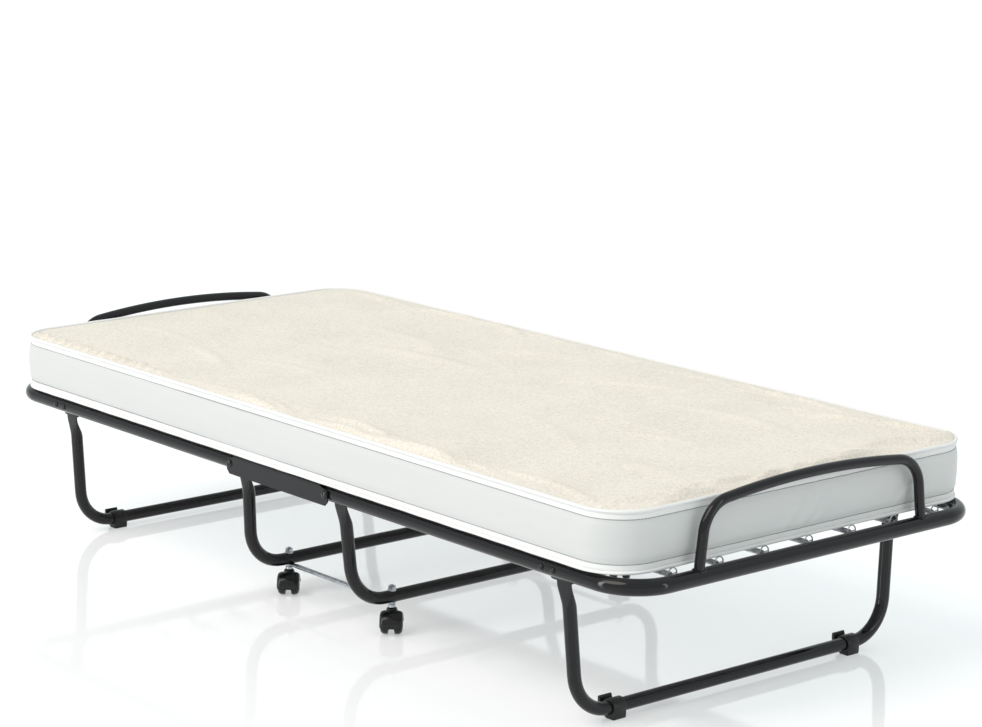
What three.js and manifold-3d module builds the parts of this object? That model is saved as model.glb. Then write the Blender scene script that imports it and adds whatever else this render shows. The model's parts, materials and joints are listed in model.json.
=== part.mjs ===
// Folding guest bed with its mattress. A centre trolley on four swivel casters carries two half-frames,
// which fold up on hinge channels at the side rails. Each half-frame has a spring deck, a mattress guard
// hoop and a folding U-shaped leg with two foot clips.
// Millimetres, +Z up. +X is the foot end, -X the head end, -Y the near side. The origin is on the floor,
// midway between the ends and midway between the sides.
import * as THREE from "three";
import { mergeVertices } from "three/addons/utils/BufferGeometryUtils.js";
import Module from "manifold-3d";

const wasm = await Module();
wasm.setup();

// Overall sizes.
const FRAME_LENGTH = 1980; // over the outer faces of the end rails
const FRAME_WIDTH = 900; // over the outer faces of the side rails
const RAIL_HEIGHT = 295; // floor to the rails' centre
const HINGE_OFFSET = 154; // mid-length to each fold axis

// Gaps kept between separate pieces.
const TOUCH_GAP = 0.3; // faces that rest on each other
const HOLE_GAP = 0.45; // hole wall to the bolt, pin or stem in it, measured at the corners of the holes
const HOLE_SIDES = 8;
const SIDE_GAP = 0.4; // rail to the plates on both sides of it
const DRILL_OVERRUN = 5; // how far a hole's cutter runs past the faces it goes through

// Rails: a steel tube bent to a U for each half.
const RAIL_RADIUS = 15;
const RAIL_WALL = 1.5;
const RAIL_BEND_RADIUS = 85;
const RAIL_BEND_RINGS = 6;
const RAIL_TAIL = 45; // how far a rail runs past its fold axis, inside the hinge channel
const RAIL_SIDES = 12;

// Hinge channels: an upside-down U of sheet steel over both rail ends of one side.
const PLATE_THICKNESS = 2.5;
const CHANNEL_END = 9; // cheek past the fold axis
const CHANNEL_DROP = 21; // rail centre to the cheek's lower edge
const CHANNEL_CHAMFER = 9;
const WEB_CLEARANCE = 2; // the upright rail of a folded half to the web's end

// Legs: a steel tube bent to a U, with pressed-flat tops.
const LEG_RADIUS = 12.5;
const LEG_WALL = 1.2;
const LEG_BEND_RADIUS = 80;
const LEG_SIDES = 8;
const FLAT_THICKNESS = 3;
const FLAT_HALF_WIDTH = 18.5;
const FLAT_SLOT = 0.5; // gap left inside the flattened end
const FLAT_RISE = 10; // pivot to the flat's upper end
const FLAT_END = 28; // below the pivot, where the flat starts to open out
const ROUND_START = 68; // below the pivot, where the tube is round again
const JOG_START = 28;
const JOG_END = 63;
const JOG_RUN = 11.6; // how far the round tube stands inboard of the flat
const JOG_TOP_BEND_RADIUS = 50;
const JOG_LOW_BEND_RADIUS = 60;
const JOG_RINGS = 2;
const LEG_BEND_RINGS = 5;
const LEG_TAPER = THREE.MathUtils.degToRad(4.3); // side tubes lean inwards towards the bar

// Centre legs stand on the casters, outer legs on the floor.
const CENTRE_LEG_SPLAY = 12;
const OUTER_PIVOT_INSET = 189; // end rail's centre to the leg's pivot
const OUTER_PIVOT_DROP = 8; // rail centre to the leg's pivot
const OUTER_LEG_SPLAY = 9;
const FLOOR_TO_TUBE = 8; // foot clip's thickness under the tube

// Leg brackets on the rails' inner faces.
const BRACKET_SETBACK = 31; // leg's pivot to the plate's inboard end
const BRACKET_RISE = 2.8; // rail's top to the plate's top
const BRACKET_DROP = 19; // below the leg's pivot
const STOP_TOP = 10.5; // below the leg's pivot
const STOP_REACH = 6.5;
const RIVET_SETBACK = 6.5; // leg's pivot to midway between the two rivets
const RIVET_SPACING = 30;
const RIVET_RADIUS = 3;
const RIVET_HEAD_RADIUS = 6;
const RIVET_HEAD_RISE = 3.5;

// Bolts, pins and stems.
const BOLT_RADIUS = 4;
const BOLT_HEAD_RADIUS = 7.5;
const BOLT_HEAD_RISE = 5;
const NUT_RADIUS = 7.5;
const NUT_THICKNESS = 6.5;
const NUT_SIDES = 6;
const THREAD_END = 3;
const PIN_HEAD_THICKNESS = 3;
const DOME_SHOULDER = 0.8; // share of a dome head's radius that its shoulder keeps
const DOME_SHOULDER_RISE = 0.65; // share of a dome head's rise that its shoulder has
const TURNED_SIDES = 10;
const RIVET_SIDES = 8;

// Guard hoops, standing on the end rails.
const HOOP_RADIUS = 9.5;
const HOOP_WALL = 1;
const HOOP_INSET = 156; // side rail's centre to the hoop's foot
const HOOP_SHOULDER_INSET = 14.5;
const HOOP_SHOULDER_RISE = 124.4; // rail centre to the corner where side and top lines would meet
const HOOP_PEAK_RISE = 156; // rail centre to where both top lines would meet
const HOOP_CORNER_RADIUS = 62;
const HOOP_STRAIGHT = 5.7; // left between a corner bend and the crown's bend
const HOOP_RINGS = 4;
const HOOP_SIDES = 8;

// Spring decks.
const DECK_RISE = 10; // rail centre to the deck's mid-plane
const WIRE_WIDTH = 3;
const WIRES_ACROSS = 7;
const SIDE_SPRING_LENGTH = 105; // side rail's centre to the net's edge
const END_SPRING_LENGTH = 100; // end rail's centre to the net's last wire
const DECK_SETBACK = 31; // fold axis to the net's first wire
const LEG_WIRE_SETBACK = 49; // leg's pivot to the cross wire inboard of its bracket
const DECK_BAYS = 5;
const SPRING_RADIUS = 5;
const MIDDLE_DECK_SETBACK = 34; // fold axis to the trolley net's last wire
const MIDDLE_DECK_BAYS = 3;

// Mattress.
const MATTRESS_END_INSET = 25; // end rail's centre to the mattress's end
const MATTRESS_WIDTH = FRAME_WIDTH;
const MATTRESS_THICKNESS = 115;
const MATTRESS_CLEARANCE = 4; // rail's top to the mattress's underside
const MATTRESS_CORNER_RADIUS = 85;
const MATTRESS_CORNER_SEGMENTS = 6;
const MATTRESS_EDGE = 10;

// Casters, all four turned the same way.
const CASTER_YAW = THREE.MathUtils.degToRad(48);
const CASTER_TRAIL = 12;
const WHEEL_RADIUS = 21;
const WHEEL_OUTER = 23; // caster's mid-plane to a wheel's outer face
const WHEEL_INNER = 5;
const WHEEL_EDGE = 1.2;
const WHEEL_SHOULDER_RUN = 7; // along the axle, where the tread turns into the domed outer face
const WHEEL_SHOULDER_DROP = 4;
const WHEEL_FACE_RISE = 2;
const WHEEL_SIDES = 14;
const AXLE_RADIUS = 3;
const FORK_HALF = 3.5;
const HOOD_GAP = 1.2;
const HOOD_WALL = 2.8;
const HOOD_START = THREE.MathUtils.degToRad(10);
const HOOD_END = THREE.MathUtils.degToRad(190);
const HOOD_SEGMENTS = 8;
const FORK_FOOT_MARGIN = 3.5; // axle hole to the fork's lower edge
const BOSS_RADIUS = 9;
const BOSS_RISE = 3.5;
const BOSS_SIDES = 12;
const STEM_DROP = 1.7; // below the hood's inner face
const COLLAR_RADIUS = 7;
const COLLAR_HEIGHT = 6.1;

// Tie rods between the casters of one side.
const TIE_ROD_RADIUS = 4.5;
const TIE_EYE_THICKNESS = 3;
const TIE_EYE_RADIUS = 9;
const TIE_ROD_SETBACK = 20; // caster stem to the end of the round part
const TIE_NECK_OVERLAP = 10;
const TIE_NECK_HALF_WIDTH = 7.2;
const TIE_ROD_SIDES = 8;

// Foot clips.
const CLIP_WIDTH = 30;
const CLIP_WALL = 3.5;
const CLIP_TOE = 14; // bar centre to the foot's outer edge
const CLIP_TOE_HEIGHT = 5;
const CLIP_TOE_FLARE = 1;
const CLIP_HEEL = 6; // bar centre to the flat foot's inner edge
const CLIP_HEEL_HEIGHT = 7;
const CLIP_CHEEK = 0.95; // share of the band's radius where the foot's sides meet it
const CLIP_SIDES = 16;
const CLIP_ARM_END = 28;
const CLIP_ARM_THICKNESS = 5;
const CLIP_LIP_TOP = 15.5; // above the bar centre
const CLIP_LIP_CHAMFER = 1;

// Places worked out from the sizes above.
const RAIL_Y = FRAME_WIDTH / 2 - RAIL_RADIUS;
const END_RAIL_X = FRAME_LENGTH / 2 - RAIL_RADIUS;
const RAIL_TOP = RAIL_HEIGHT + RAIL_RADIUS;
const INNER_PLATE_Y = RAIL_Y - RAIL_RADIUS - SIDE_GAP - PLATE_THICKNESS;
const OUTER_PLATE_Y = RAIL_Y + RAIL_RADIUS + SIDE_GAP;
const FLAT_Y = INNER_PLATE_Y - TOUCH_GAP - FLAT_THICKNESS / 2;
const OUTER_PIVOT_X = END_RAIL_X - OUTER_PIVOT_INSET;
const OUTER_PIVOT_HEIGHT = RAIL_HEIGHT - OUTER_PIVOT_DROP;
const OUTER_BAR_HEIGHT = FLOOR_TO_TUBE + LEG_RADIUS;
const OUTER_BAR_X = OUTER_PIVOT_X + OUTER_LEG_SPLAY;
const CENTRE_BAR_X = HINGE_OFFSET + CENTRE_LEG_SPLAY;
const HOOD_TOP = 2 * WHEEL_RADIUS + HOOD_GAP + HOOD_WALL;
const BOSS_TOP = HOOD_TOP + BOSS_RISE;
const COLLAR_TOP = BOSS_TOP + TOUCH_GAP + COLLAR_HEIGHT;
const TIE_EYE_TOP = COLLAR_TOP + TOUCH_GAP + TIE_EYE_THICKNESS;
const CENTRE_BAR_HEIGHT = TIE_EYE_TOP + TOUCH_GAP + LEG_RADIUS;
const STEM_BOTTOM = HOOD_TOP - HOOD_WALL - STEM_DROP;
const OUTER_LEG_LENGTH = Math.hypot(OUTER_PIVOT_HEIGHT - OUTER_BAR_HEIGHT, OUTER_LEG_SPLAY);
const LEG_CORNER_Y = FLAT_Y - JOG_RUN - (OUTER_LEG_LENGTH - JOG_END) * Math.tan(LEG_TAPER);
const LEG_BAR_END_Y = LEG_CORNER_Y - LEG_BEND_RADIUS * Math.tan(Math.PI / 4 - LEG_TAPER / 2);
const CLIP_Y = Math.floor(LEG_BAR_END_Y - CLIP_WIDTH / 2); // just inside the straight part of the bar
const CASTER_Y = CLIP_Y;
const BOLT_HOLE_RADIUS = BOLT_RADIUS + HOLE_GAP;
const RIVET_HOLE_RADIUS = RIVET_RADIUS + HOLE_GAP;
const DECK_HEIGHT = RAIL_HEIGHT + DECK_RISE;
const DECK_HALF_WIDTH = RAIL_Y - SIDE_SPRING_LENGTH;
const DECK_START = HINGE_OFFSET + DECK_SETBACK;
const DECK_END = END_RAIL_X - END_SPRING_LENGTH;
const LEG_WIRE_X = OUTER_PIVOT_X - LEG_WIRE_SETBACK;
const MIDDLE_DECK_END = HINGE_OFFSET - MIDDLE_DECK_SETBACK;
const HOOP_HALF_WIDTH = RAIL_Y - HOOP_INSET;
const MATTRESS_LENGTH = 2 * (END_RAIL_X - MATTRESS_END_INSET);
const MATTRESS_RISE = RAIL_RADIUS + MATTRESS_CLEARANCE; // rail centre to the mattress's underside
const MATTRESS_BOTTOM = RAIL_HEIGHT + MATTRESS_RISE;

// Finishes.
const FINISH = {
  black_enamel: new THREE.MeshStandardMaterial({ color: 0x1d1b20, roughness: 0.32, metalness: 0.1 }),
  zinc: new THREE.MeshStandardMaterial({ color: 0xb9bcc0, roughness: 0.3, metalness: 1 }),
  black_plastic: new THREE.MeshStandardMaterial({ color: 0x161518, roughness: 0.4, metalness: 0 }),
  spring_steel: new THREE.MeshStandardMaterial({ color: 0x44434a, roughness: 0.4, metalness: 0.8 }),
  mattress_fabric: new THREE.MeshStandardMaterial({ color: 0xeae6de, roughness: 0.9, metalness: 0 }),
};

const SIDES = [
  { name: "near", sign: -1 },
  { name: "far", sign: 1 },
];
const ENDS = [
  { name: "head", sign: -1 },
  { name: "foot", sign: 1 },
];

// Solids: joining and cutting.

function toSolid(geometry) {
  const bare = geometry.clone();
  bare.deleteAttribute("normal");
  bare.deleteAttribute("uv");
  const merged = mergeVertices(bare, 1e-4);
  return new wasm.Manifold(
    new wasm.Mesh({
      numProp: 3,
      vertProperties: merged.attributes.position.array,
      triVerts: new Uint32Array(merged.index.array),
    }),
  );
}

function toGeometry(solid) {
  const mesh = solid.getMesh();
  const geometry = new THREE.BufferGeometry();
  geometry.setAttribute("position", new THREE.BufferAttribute(mesh.vertProperties, mesh.numProp));
  geometry.setIndex(new THREE.BufferAttribute(mesh.triVerts, 1));
  geometry.computeVertexNormals();
  return geometry;
}

function joined(geometries) {
  return toGeometry(geometries.map(toSolid).reduce((whole, next) => whole.add(next)));
}

function cutBy(geometry, cutters) {
  return toGeometry(cutters.map(toSolid).reduce((left, cutter) => left.subtract(cutter), toSolid(geometry)));
}

function within(geometry, limit) {
  return toGeometry(toSolid(geometry).intersect(toSolid(limit)));
}

// Plain shapes, placed in the part's frame.

function box(x0, x1, y0, y1, z0, z1) {
  const middle = [(x0 + x1) / 2, (y0 + y1) / 2, (z0 + z1) / 2];
  return new THREE.BoxGeometry(x1 - x0, y1 - y0, z1 - z0).translate(...middle);
}

function rodAlongX(radius, x0, x1, y, z, sides) {
  return new THREE.CylinderGeometry(radius, radius, x1 - x0, sides)
    .rotateZ(Math.PI / 2)
    .translate((x0 + x1) / 2, y, z);
}

function rodAlongY(radius, y0, y1, x, z, sides) {
  return new THREE.CylinderGeometry(radius, radius, y1 - y0, sides).translate(x, (y0 + y1) / 2, z);
}

function rodAlongZ(radius, z0, z1, x, y, sides) {
  return new THREE.CylinderGeometry(radius, radius, z1 - z0, sides)
    .rotateX(Math.PI / 2)
    .translate(x, y, (z0 + z1) / 2);
}

// The cutter of a round hole through the faces at y0 and y1.
function holeAlongY(radius, y0, y1, x, z) {
  return rodAlongY(radius, y0 - DRILL_OVERRUN, y1 + DRILL_OVERRUN, x, z, HOLE_SIDES);
}

// The cutter of a round hole through the faces at z0 and z1.
function holeAlongZ(radius, z0, z1, x, y) {
  return rodAlongZ(radius, z0 - DRILL_OVERRUN, z1 + DRILL_OVERRUN, x, y, HOLE_SIDES);
}

// A flat outline in X and Z, made thick from y0 to y1.
function slabAlongY(outline, y0, y1) {
  return new THREE.ExtrudeGeometry(outline, { depth: y1 - y0, bevelEnabled: false })
    .rotateX(Math.PI / 2)
    .translate(0, y1, 0);
}

// A turned piece whose axis is Y: profile points are (radius, distance along Y from the origin).
function turnedAlongY(profile, segments) {
  const points = profile.map(([radius, along]) => new THREE.Vector2(radius, along));
  return new THREE.LatheGeometry(points, segments);
}

// The profile of a dome head that sits on the face at the given distance along Y.
function domeProfile(face, radius, rise) {
  return [
    [radius, face],
    [radius * DOME_SHOULDER, face + rise * DOME_SHOULDER_RISE],
    [0, face + rise],
  ];
}

function outlineOf(points) {
  return new THREE.Shape(points.map(([across, up]) => new THREE.Vector2(across, up)));
}

// Bent tubes.

// The centreline of a bent tube: straights joined by round bends, with a ring of the tube's section
// at both ends of each bend and a few along it.
class BentPath extends THREE.Curve {
  constructor(corners) {
    super();
    this.stations = [];
    corners.forEach((corner, index) => {
      const before = corners[index - 1];
      const after = corners[index + 1];
      if (before && after) this.addBend(before.point, corner, after.point);
      else this.addEnd(corner.point, before ? before.point : after.point, Boolean(before));
    });
  }

  addEnd(point, neighbour, isLast) {
    const tangent = point.clone().sub(neighbour).normalize();
    if (!isLast) tangent.negate();
    this.stations.push({ point: point.clone(), tangent });
  }

  addBend(before, corner, after) {
    const into = corner.point.clone().sub(before).normalize();
    const out = after.clone().sub(corner.point).normalize();
    const angle = into.angleTo(out);
    const side = out.clone().addScaledVector(into, -into.dot(out)).normalize();
    const start = corner.point.clone().addScaledVector(into, -corner.radius * Math.tan(angle / 2));
    for (let ring = 0; ring <= corner.rings; ring += 1) {
      const turned = (angle * ring) / corner.rings;
      const point = start
        .clone()
        .addScaledVector(into, corner.radius * Math.sin(turned))
        .addScaledVector(side, corner.radius * (1 - Math.cos(turned)));
      const tangent = into.clone().multiplyScalar(Math.cos(turned)).addScaledVector(side, Math.sin(turned));
      this.stations.push({ point, tangent });
    }
  }

  get steps() {
    return this.stations.length - 1;
  }

  stationAt(share) {
    return this.stations[Math.round(share * this.steps)];
  }

  getPoint(share, target = new THREE.Vector3()) {
    return target.copy(this.stationAt(share).point);
  }

  getPointAt(share, target = new THREE.Vector3()) {
    return this.getPoint(share, target);
  }

  getTangent(share, target = new THREE.Vector3()) {
    return target.copy(this.stationAt(share).tangent);
  }

  getTangentAt(share, target = new THREE.Vector3()) {
    return this.getTangent(share, target);
  }
}

function circlePoints(radius, sides) {
  return Array.from({ length: sides }, (_, index) => {
    const angle = (2 * Math.PI * index) / sides;
    return new THREE.Vector2(radius * Math.cos(angle), radius * Math.sin(angle));
  });
}

// A tube with a real wall and open ends.
function tubeAlong(path, radius, wall, sides) {
  const section = new THREE.Shape(circlePoints(radius, sides));
  section.holes.push(new THREE.Path(circlePoints(radius - wall, sides)));
  return new THREE.ExtrudeGeometry(section, { steps: path.steps, extrudePath: path });
}

// The ring of the tube that a vertex belongs to: its plane holds the vertex.
function ringOf(vertex, path, radius) {
  let best = path.stations[0];
  let least = Infinity;
  for (const station of path.stations) {
    const offset = vertex.clone().sub(station.point);
    const outOfPlane = Math.abs(offset.dot(station.tangent));
    if (offset.length() < radius + TOUCH_GAP && outOfPlane < least) {
      least = outOfPlane;
      best = station;
    }
  }
  return best;
}

// Presses a leg's two upper ends flat, parallel to the side rails.
function pressEndsFlat(geometry, path) {
  const positions = geometry.attributes.position;
  const middleOfWall = LEG_RADIUS - LEG_WALL / 2;
  const vertex = new THREE.Vector3();
  for (let index = 0; index < positions.count; index += 1) {
    vertex.fromBufferAttribute(positions, index);
    const centre = ringOf(vertex, path, LEG_RADIUS).point;
    const flatness = THREE.MathUtils.smoothstep(centre.z, -ROUND_START, -FLAT_END);
    if (flatness === 0) continue;
    const isOuter = Math.hypot(vertex.x - centre.x, vertex.y - centre.y) > middleOfWall;
    const round = isOuter ? LEG_RADIUS : LEG_RADIUS - LEG_WALL;
    const halfWidth = isOuter ? FLAT_HALF_WIDTH : FLAT_HALF_WIDTH - LEG_WALL;
    const halfThickness = isOuter ? FLAT_THICKNESS / 2 : FLAT_SLOT / 2;
    const widen = THREE.MathUtils.lerp(1, halfWidth / round, flatness);
    const squeeze = THREE.MathUtils.lerp(1, halfThickness / round, flatness);
    vertex.x = centre.x + (vertex.x - centre.x) * widen;
    vertex.y = centre.y + (vertex.y - centre.y) * squeeze;
    positions.setXYZ(index, vertex.x, vertex.y, vertex.z);
  }
  return geometry;
}

// Sub-parts.

// The U-shaped rail of one half-frame, drilled for its hinge bolts and bracket rivets.
function railTube() {
  const tail = HINGE_OFFSET - RAIL_TAIL;
  const corner = (x, y) => ({
    point: new THREE.Vector3(x, y, RAIL_HEIGHT),
    radius: RAIL_BEND_RADIUS,
    rings: RAIL_BEND_RINGS,
  });
  const path = new BentPath([
    corner(tail, -RAIL_Y),
    corner(END_RAIL_X, -RAIL_Y),
    corner(END_RAIL_X, RAIL_Y),
    corner(tail, RAIL_Y),
  ]);
  const tube = tubeAlong(path, RAIL_RADIUS, RAIL_WALL, RAIL_SIDES);
  const side = FRAME_WIDTH / 2;
  const drills = rivetPlaces().map((x) => holeAlongY(RIVET_HOLE_RADIUS, -side, side, x, RAIL_HEIGHT));
  drills.push(holeAlongY(BOLT_HOLE_RADIUS, -side, side, HINGE_OFFSET, RAIL_HEIGHT));
  return cutBy(tube, drills);
}

function rivetPlaces() {
  const middle = OUTER_PIVOT_X - RIVET_SETBACK;
  return [middle - RIVET_SPACING / 2, middle + RIVET_SPACING / 2];
}

// A hinge channel on the +Y side: two cheeks and the web that the rail ends bear against from below.
function hingeChannel() {
  const end = HINGE_OFFSET + CHANNEL_END;
  const webEnd = HINGE_OFFSET - RAIL_RADIUS - WEB_CLEARANCE;
  const top = RAIL_TOP + TOUCH_GAP + PLATE_THICKNESS;
  const bottom = RAIL_HEIGHT - CHANNEL_DROP;
  const cheek = outlineOf([
    [-end + CHANNEL_CHAMFER, bottom],
    [end - CHANNEL_CHAMFER, bottom],
    [end, bottom + CHANNEL_CHAMFER],
    [end, RAIL_HEIGHT + CHANNEL_CHAMFER],
    [webEnd, top],
    [-webEnd, top],
    [-end, RAIL_HEIGHT + CHANNEL_CHAMFER],
    [-end, bottom + CHANNEL_CHAMFER],
  ]);
  const outerFace = OUTER_PLATE_Y + PLATE_THICKNESS;
  const folded = joined([
    slabAlongY(cheek, INNER_PLATE_Y, INNER_PLATE_Y + PLATE_THICKNESS),
    slabAlongY(cheek, OUTER_PLATE_Y, outerFace),
    box(-webEnd, webEnd, INNER_PLATE_Y, outerFace, top - PLATE_THICKNESS, top),
  ]);
  const drills = ENDS.map(({ sign }) =>
    holeAlongY(BOLT_HOLE_RADIUS, INNER_PLATE_Y, outerFace, sign * HINGE_OFFSET, RAIL_HEIGHT),
  );
  return cutBy(folded, drills);
}

// A hinge bolt on the +Y side, with its nut: dome head outside, nut against the leg's flat.
function hingeBolt() {
  const head = OUTER_PLATE_Y + PLATE_THICKNESS + TOUCH_GAP;
  const nut = FLAT_Y - FLAT_THICKNESS / 2 - TOUCH_GAP;
  const bolt = turnedAlongY(
    [
      [0, nut - NUT_THICKNESS - THREAD_END],
      [BOLT_RADIUS, nut - NUT_THICKNESS - THREAD_END],
      [BOLT_RADIUS, head],
      ...domeProfile(head, BOLT_HEAD_RADIUS, BOLT_HEAD_RISE),
    ],
    TURNED_SIDES,
  );
  return joined([bolt, rodAlongY(NUT_RADIUS, nut - NUT_THICKNESS, nut, 0, 0, NUT_SIDES)]);
}

// A U-shaped leg in its own frame: the pivot line is Y, and the bar lies straight below it.
function legTube(length) {
  const taperRun = (length - JOG_END) * Math.tan(LEG_TAPER);
  const jogY = FLAT_Y - JOG_RUN;
  const corner = (y, z, radius, rings) => ({ point: new THREE.Vector3(0, y, z), radius, rings });
  const half = (sign) => [
    corner(sign * FLAT_Y, FLAT_RISE),
    corner(sign * FLAT_Y, -JOG_START, JOG_TOP_BEND_RADIUS, JOG_RINGS),
    corner(sign * jogY, -JOG_END, JOG_LOW_BEND_RADIUS, JOG_RINGS),
    corner(sign * (jogY - taperRun), -length, LEG_BEND_RADIUS, LEG_BEND_RINGS),
  ];
  const path = new BentPath([...half(-1), ...half(1).reverse()]);
  const tube = pressEndsFlat(tubeAlong(path, LEG_RADIUS, LEG_WALL, LEG_SIDES), path);
  return cutBy(tube, [holeAlongY(BOLT_HOLE_RADIUS, -INNER_PLATE_Y, INNER_PLATE_Y, 0, 0)]);
}

// A leg set in place: its bar stands outboard of its pivot by the splay.
function placedLeg(pivotX, pivotHeight, barHeight, splay) {
  const length = Math.hypot(pivotHeight - barHeight, splay);
  return legTube(length)
    .rotateY(-Math.asin(splay / length))
    .translate(pivotX, 0, pivotHeight);
}

function centreLeg() {
  const leg = placedLeg(HINGE_OFFSET, RAIL_HEIGHT, CENTRE_BAR_HEIGHT, CENTRE_LEG_SPLAY);
  const top = CENTRE_BAR_HEIGHT + LEG_RADIUS;
  const bottom = CENTRE_BAR_HEIGHT - LEG_RADIUS;
  const drills = SIDES.map(({ sign }) =>
    holeAlongZ(BOLT_HOLE_RADIUS, bottom, top, CENTRE_BAR_X, sign * CASTER_Y),
  );
  return cutBy(leg, drills);
}

function outerLeg() {
  return placedLeg(OUTER_PIVOT_X, OUTER_PIVOT_HEIGHT, OUTER_BAR_HEIGHT, OUTER_LEG_SPLAY);
}

// A leg bracket on the +Y side of the foot half: a plate on the rail's inner face, with a bent stop
// that the open leg leans on.
function legBracket() {
  const lean = OUTER_LEG_SPLAY / (OUTER_PIVOT_HEIGHT - OUTER_BAR_HEIGHT);
  const stopX = OUTER_PIVOT_X + FLAT_HALF_WIDTH + lean * BRACKET_DROP + TOUCH_GAP;
  const end = stopX + PLATE_THICKNESS;
  const bottom = OUTER_PIVOT_HEIGHT - BRACKET_DROP;
  const outerFace = INNER_PLATE_Y + PLATE_THICKNESS;
  const start = OUTER_PIVOT_X - BRACKET_SETBACK;
  const stopTop = OUTER_PIVOT_HEIGHT - STOP_TOP;
  const plate = box(start, end, INNER_PLATE_Y, outerFace, bottom, RAIL_TOP + BRACKET_RISE);
  const stop = box(stopX, end, INNER_PLATE_Y - STOP_REACH, outerFace, bottom, stopTop);
  const drills = rivetPlaces().map((x) =>
    holeAlongY(RIVET_HOLE_RADIUS, INNER_PLATE_Y, outerFace, x, RAIL_HEIGHT),
  );
  drills.push(holeAlongY(BOLT_HOLE_RADIUS, INNER_PLATE_Y, outerFace, OUTER_PIVOT_X, OUTER_PIVOT_HEIGHT));
  return cutBy(joined([plate, stop]), drills);
}

// A rivet through a rail and its bracket, on the +Y side.
function railRivet() {
  const head = RAIL_Y + RAIL_RADIUS + TOUCH_GAP;
  return turnedAlongY(
    [
      [0, INNER_PLATE_Y + TOUCH_GAP],
      [RIVET_RADIUS, INNER_PLATE_Y + TOUCH_GAP],
      [RIVET_RADIUS, head],
      ...domeProfile(head, RIVET_HEAD_RADIUS, RIVET_HEAD_RISE),
    ],
    RIVET_SIDES,
  );
}

// The pin that an outer leg turns on, on the +Y side: head inboard, shank riveted flush in the bracket.
function legPin() {
  const head = FLAT_Y - FLAT_THICKNESS / 2 - TOUCH_GAP;
  return turnedAlongY(
    [
      [0, head - PIN_HEAD_THICKNESS],
      [BOLT_HEAD_RADIUS, head - PIN_HEAD_THICKNESS],
      [BOLT_HEAD_RADIUS, head],
      [BOLT_RADIUS, head],
      [BOLT_RADIUS, INNER_PLATE_Y + PLATE_THICKNESS],
      [0, INNER_PLATE_Y + PLATE_THICKNESS],
    ],
    TURNED_SIDES,
  );
}

// The guard hoop on the foot end rail.
function guardHoop() {
  const lean = Math.atan2(HOOP_SHOULDER_INSET, HOOP_SHOULDER_RISE - RAIL_RADIUS);
  const foot = RAIL_TOP + TOUCH_GAP + HOOP_RADIUS * Math.sin(lean);
  const shoulderY = HOOP_HALF_WIDTH - HOOP_SHOULDER_INSET;
  const slope = Math.atan2(HOOP_PEAK_RISE - HOOP_SHOULDER_RISE, shoulderY);
  const cornerTurn = Math.PI / 2 - lean - slope;
  const topLine = shoulderY / Math.cos(slope);
  const crownReach = topLine - HOOP_CORNER_RADIUS * Math.tan(cornerTurn / 2) - HOOP_STRAIGHT;
  const crownRadius = crownReach / Math.tan(slope);
  const corner = (y, rise, radius) => ({
    point: new THREE.Vector3(END_RAIL_X, y, RAIL_HEIGHT + rise),
    radius,
    rings: HOOP_RINGS,
  });
  const path = new BentPath([
    corner(-HOOP_HALF_WIDTH, foot - RAIL_HEIGHT),
    corner(-shoulderY, HOOP_SHOULDER_RISE, HOOP_CORNER_RADIUS),
    corner(0, HOOP_PEAK_RISE, crownRadius),
    corner(shoulderY, HOOP_SHOULDER_RISE, HOOP_CORNER_RADIUS),
    corner(HOOP_HALF_WIDTH, foot - RAIL_HEIGHT),
  ]);
  return tubeAlong(path, HOOP_RADIUS, HOOP_WALL, HOOP_SIDES);
}

// Equally spaced places, one more than there are bays.
function evenPlaces(start, end, bays) {
  return Array.from({ length: bays + 1 }, (_, index) => start + ((end - start) * index) / bays);
}

function longWirePlaces() {
  return evenPlaces(-DECK_HALF_WIDTH, DECK_HALF_WIDTH, WIRES_ACROSS - 1);
}

// Where a half deck's cross wires lie: the last bay takes in the leg bracket, and the others are equal.
function crossWirePlaces() {
  return [...evenPlaces(DECK_START, LEG_WIRE_X, DECK_BAYS - 1), DECK_END];
}

// The wires of a net: those along X lie on those along Y, and are pressed half-way into them.
function netWires(crossPlaces, reach) {
  const half = WIRE_WIDTH / 2;
  const start = crossPlaces[0] - WIRE_WIDTH;
  const end = crossPlaces[crossPlaces.length - 1] + WIRE_WIDTH;
  const [bottom, top] = [DECK_HEIGHT - half, DECK_HEIGHT + half];
  return [
    ...longWirePlaces().map((y) => box(start, end, y - half, y + half, bottom, top)),
    ...crossPlaces.map((x) => box(x - half, x + half, -reach, reach, DECK_HEIGHT - WIRE_WIDTH, DECK_HEIGHT)),
  ];
}

// A tension spring's outer shape, as a square bar.
function springAlongX(x0, x1, y) {
  const half = SPRING_RADIUS;
  return box(x0, x1, y - half, y + half, DECK_HEIGHT - half, DECK_HEIGHT + half);
}

function springAlongY(y0, y1, x) {
  const half = SPRING_RADIUS;
  return box(x - half, x + half, y0, y1, DECK_HEIGHT - half, DECK_HEIGHT + half);
}

// The gap between a spring's end and the rail's round side at the spring's height.
function springReach() {
  const lowest = DECK_RISE - SPRING_RADIUS;
  return Math.sqrt(RAIL_RADIUS ** 2 - lowest ** 2) + TOUCH_GAP;
}

// The foot half's deck: a wire net with tension springs to the end rail and both side rails.
function halfDeck() {
  const endReach = END_RAIL_X - springReach();
  const sideReach = RAIL_Y - springReach();
  const endSprings = longWirePlaces().map((y) => springAlongX(DECK_END, endReach, y));
  const sideSprings = crossWirePlaces().flatMap((x) => [
    springAlongY(DECK_HALF_WIDTH, sideReach, x),
    springAlongY(-sideReach, -DECK_HALF_WIDTH, x),
  ]);
  const net = netWires(crossWirePlaces(), DECK_HALF_WIDTH + WIRE_WIDTH);
  return joined([...net, ...endSprings, ...sideSprings]);
}

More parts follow.
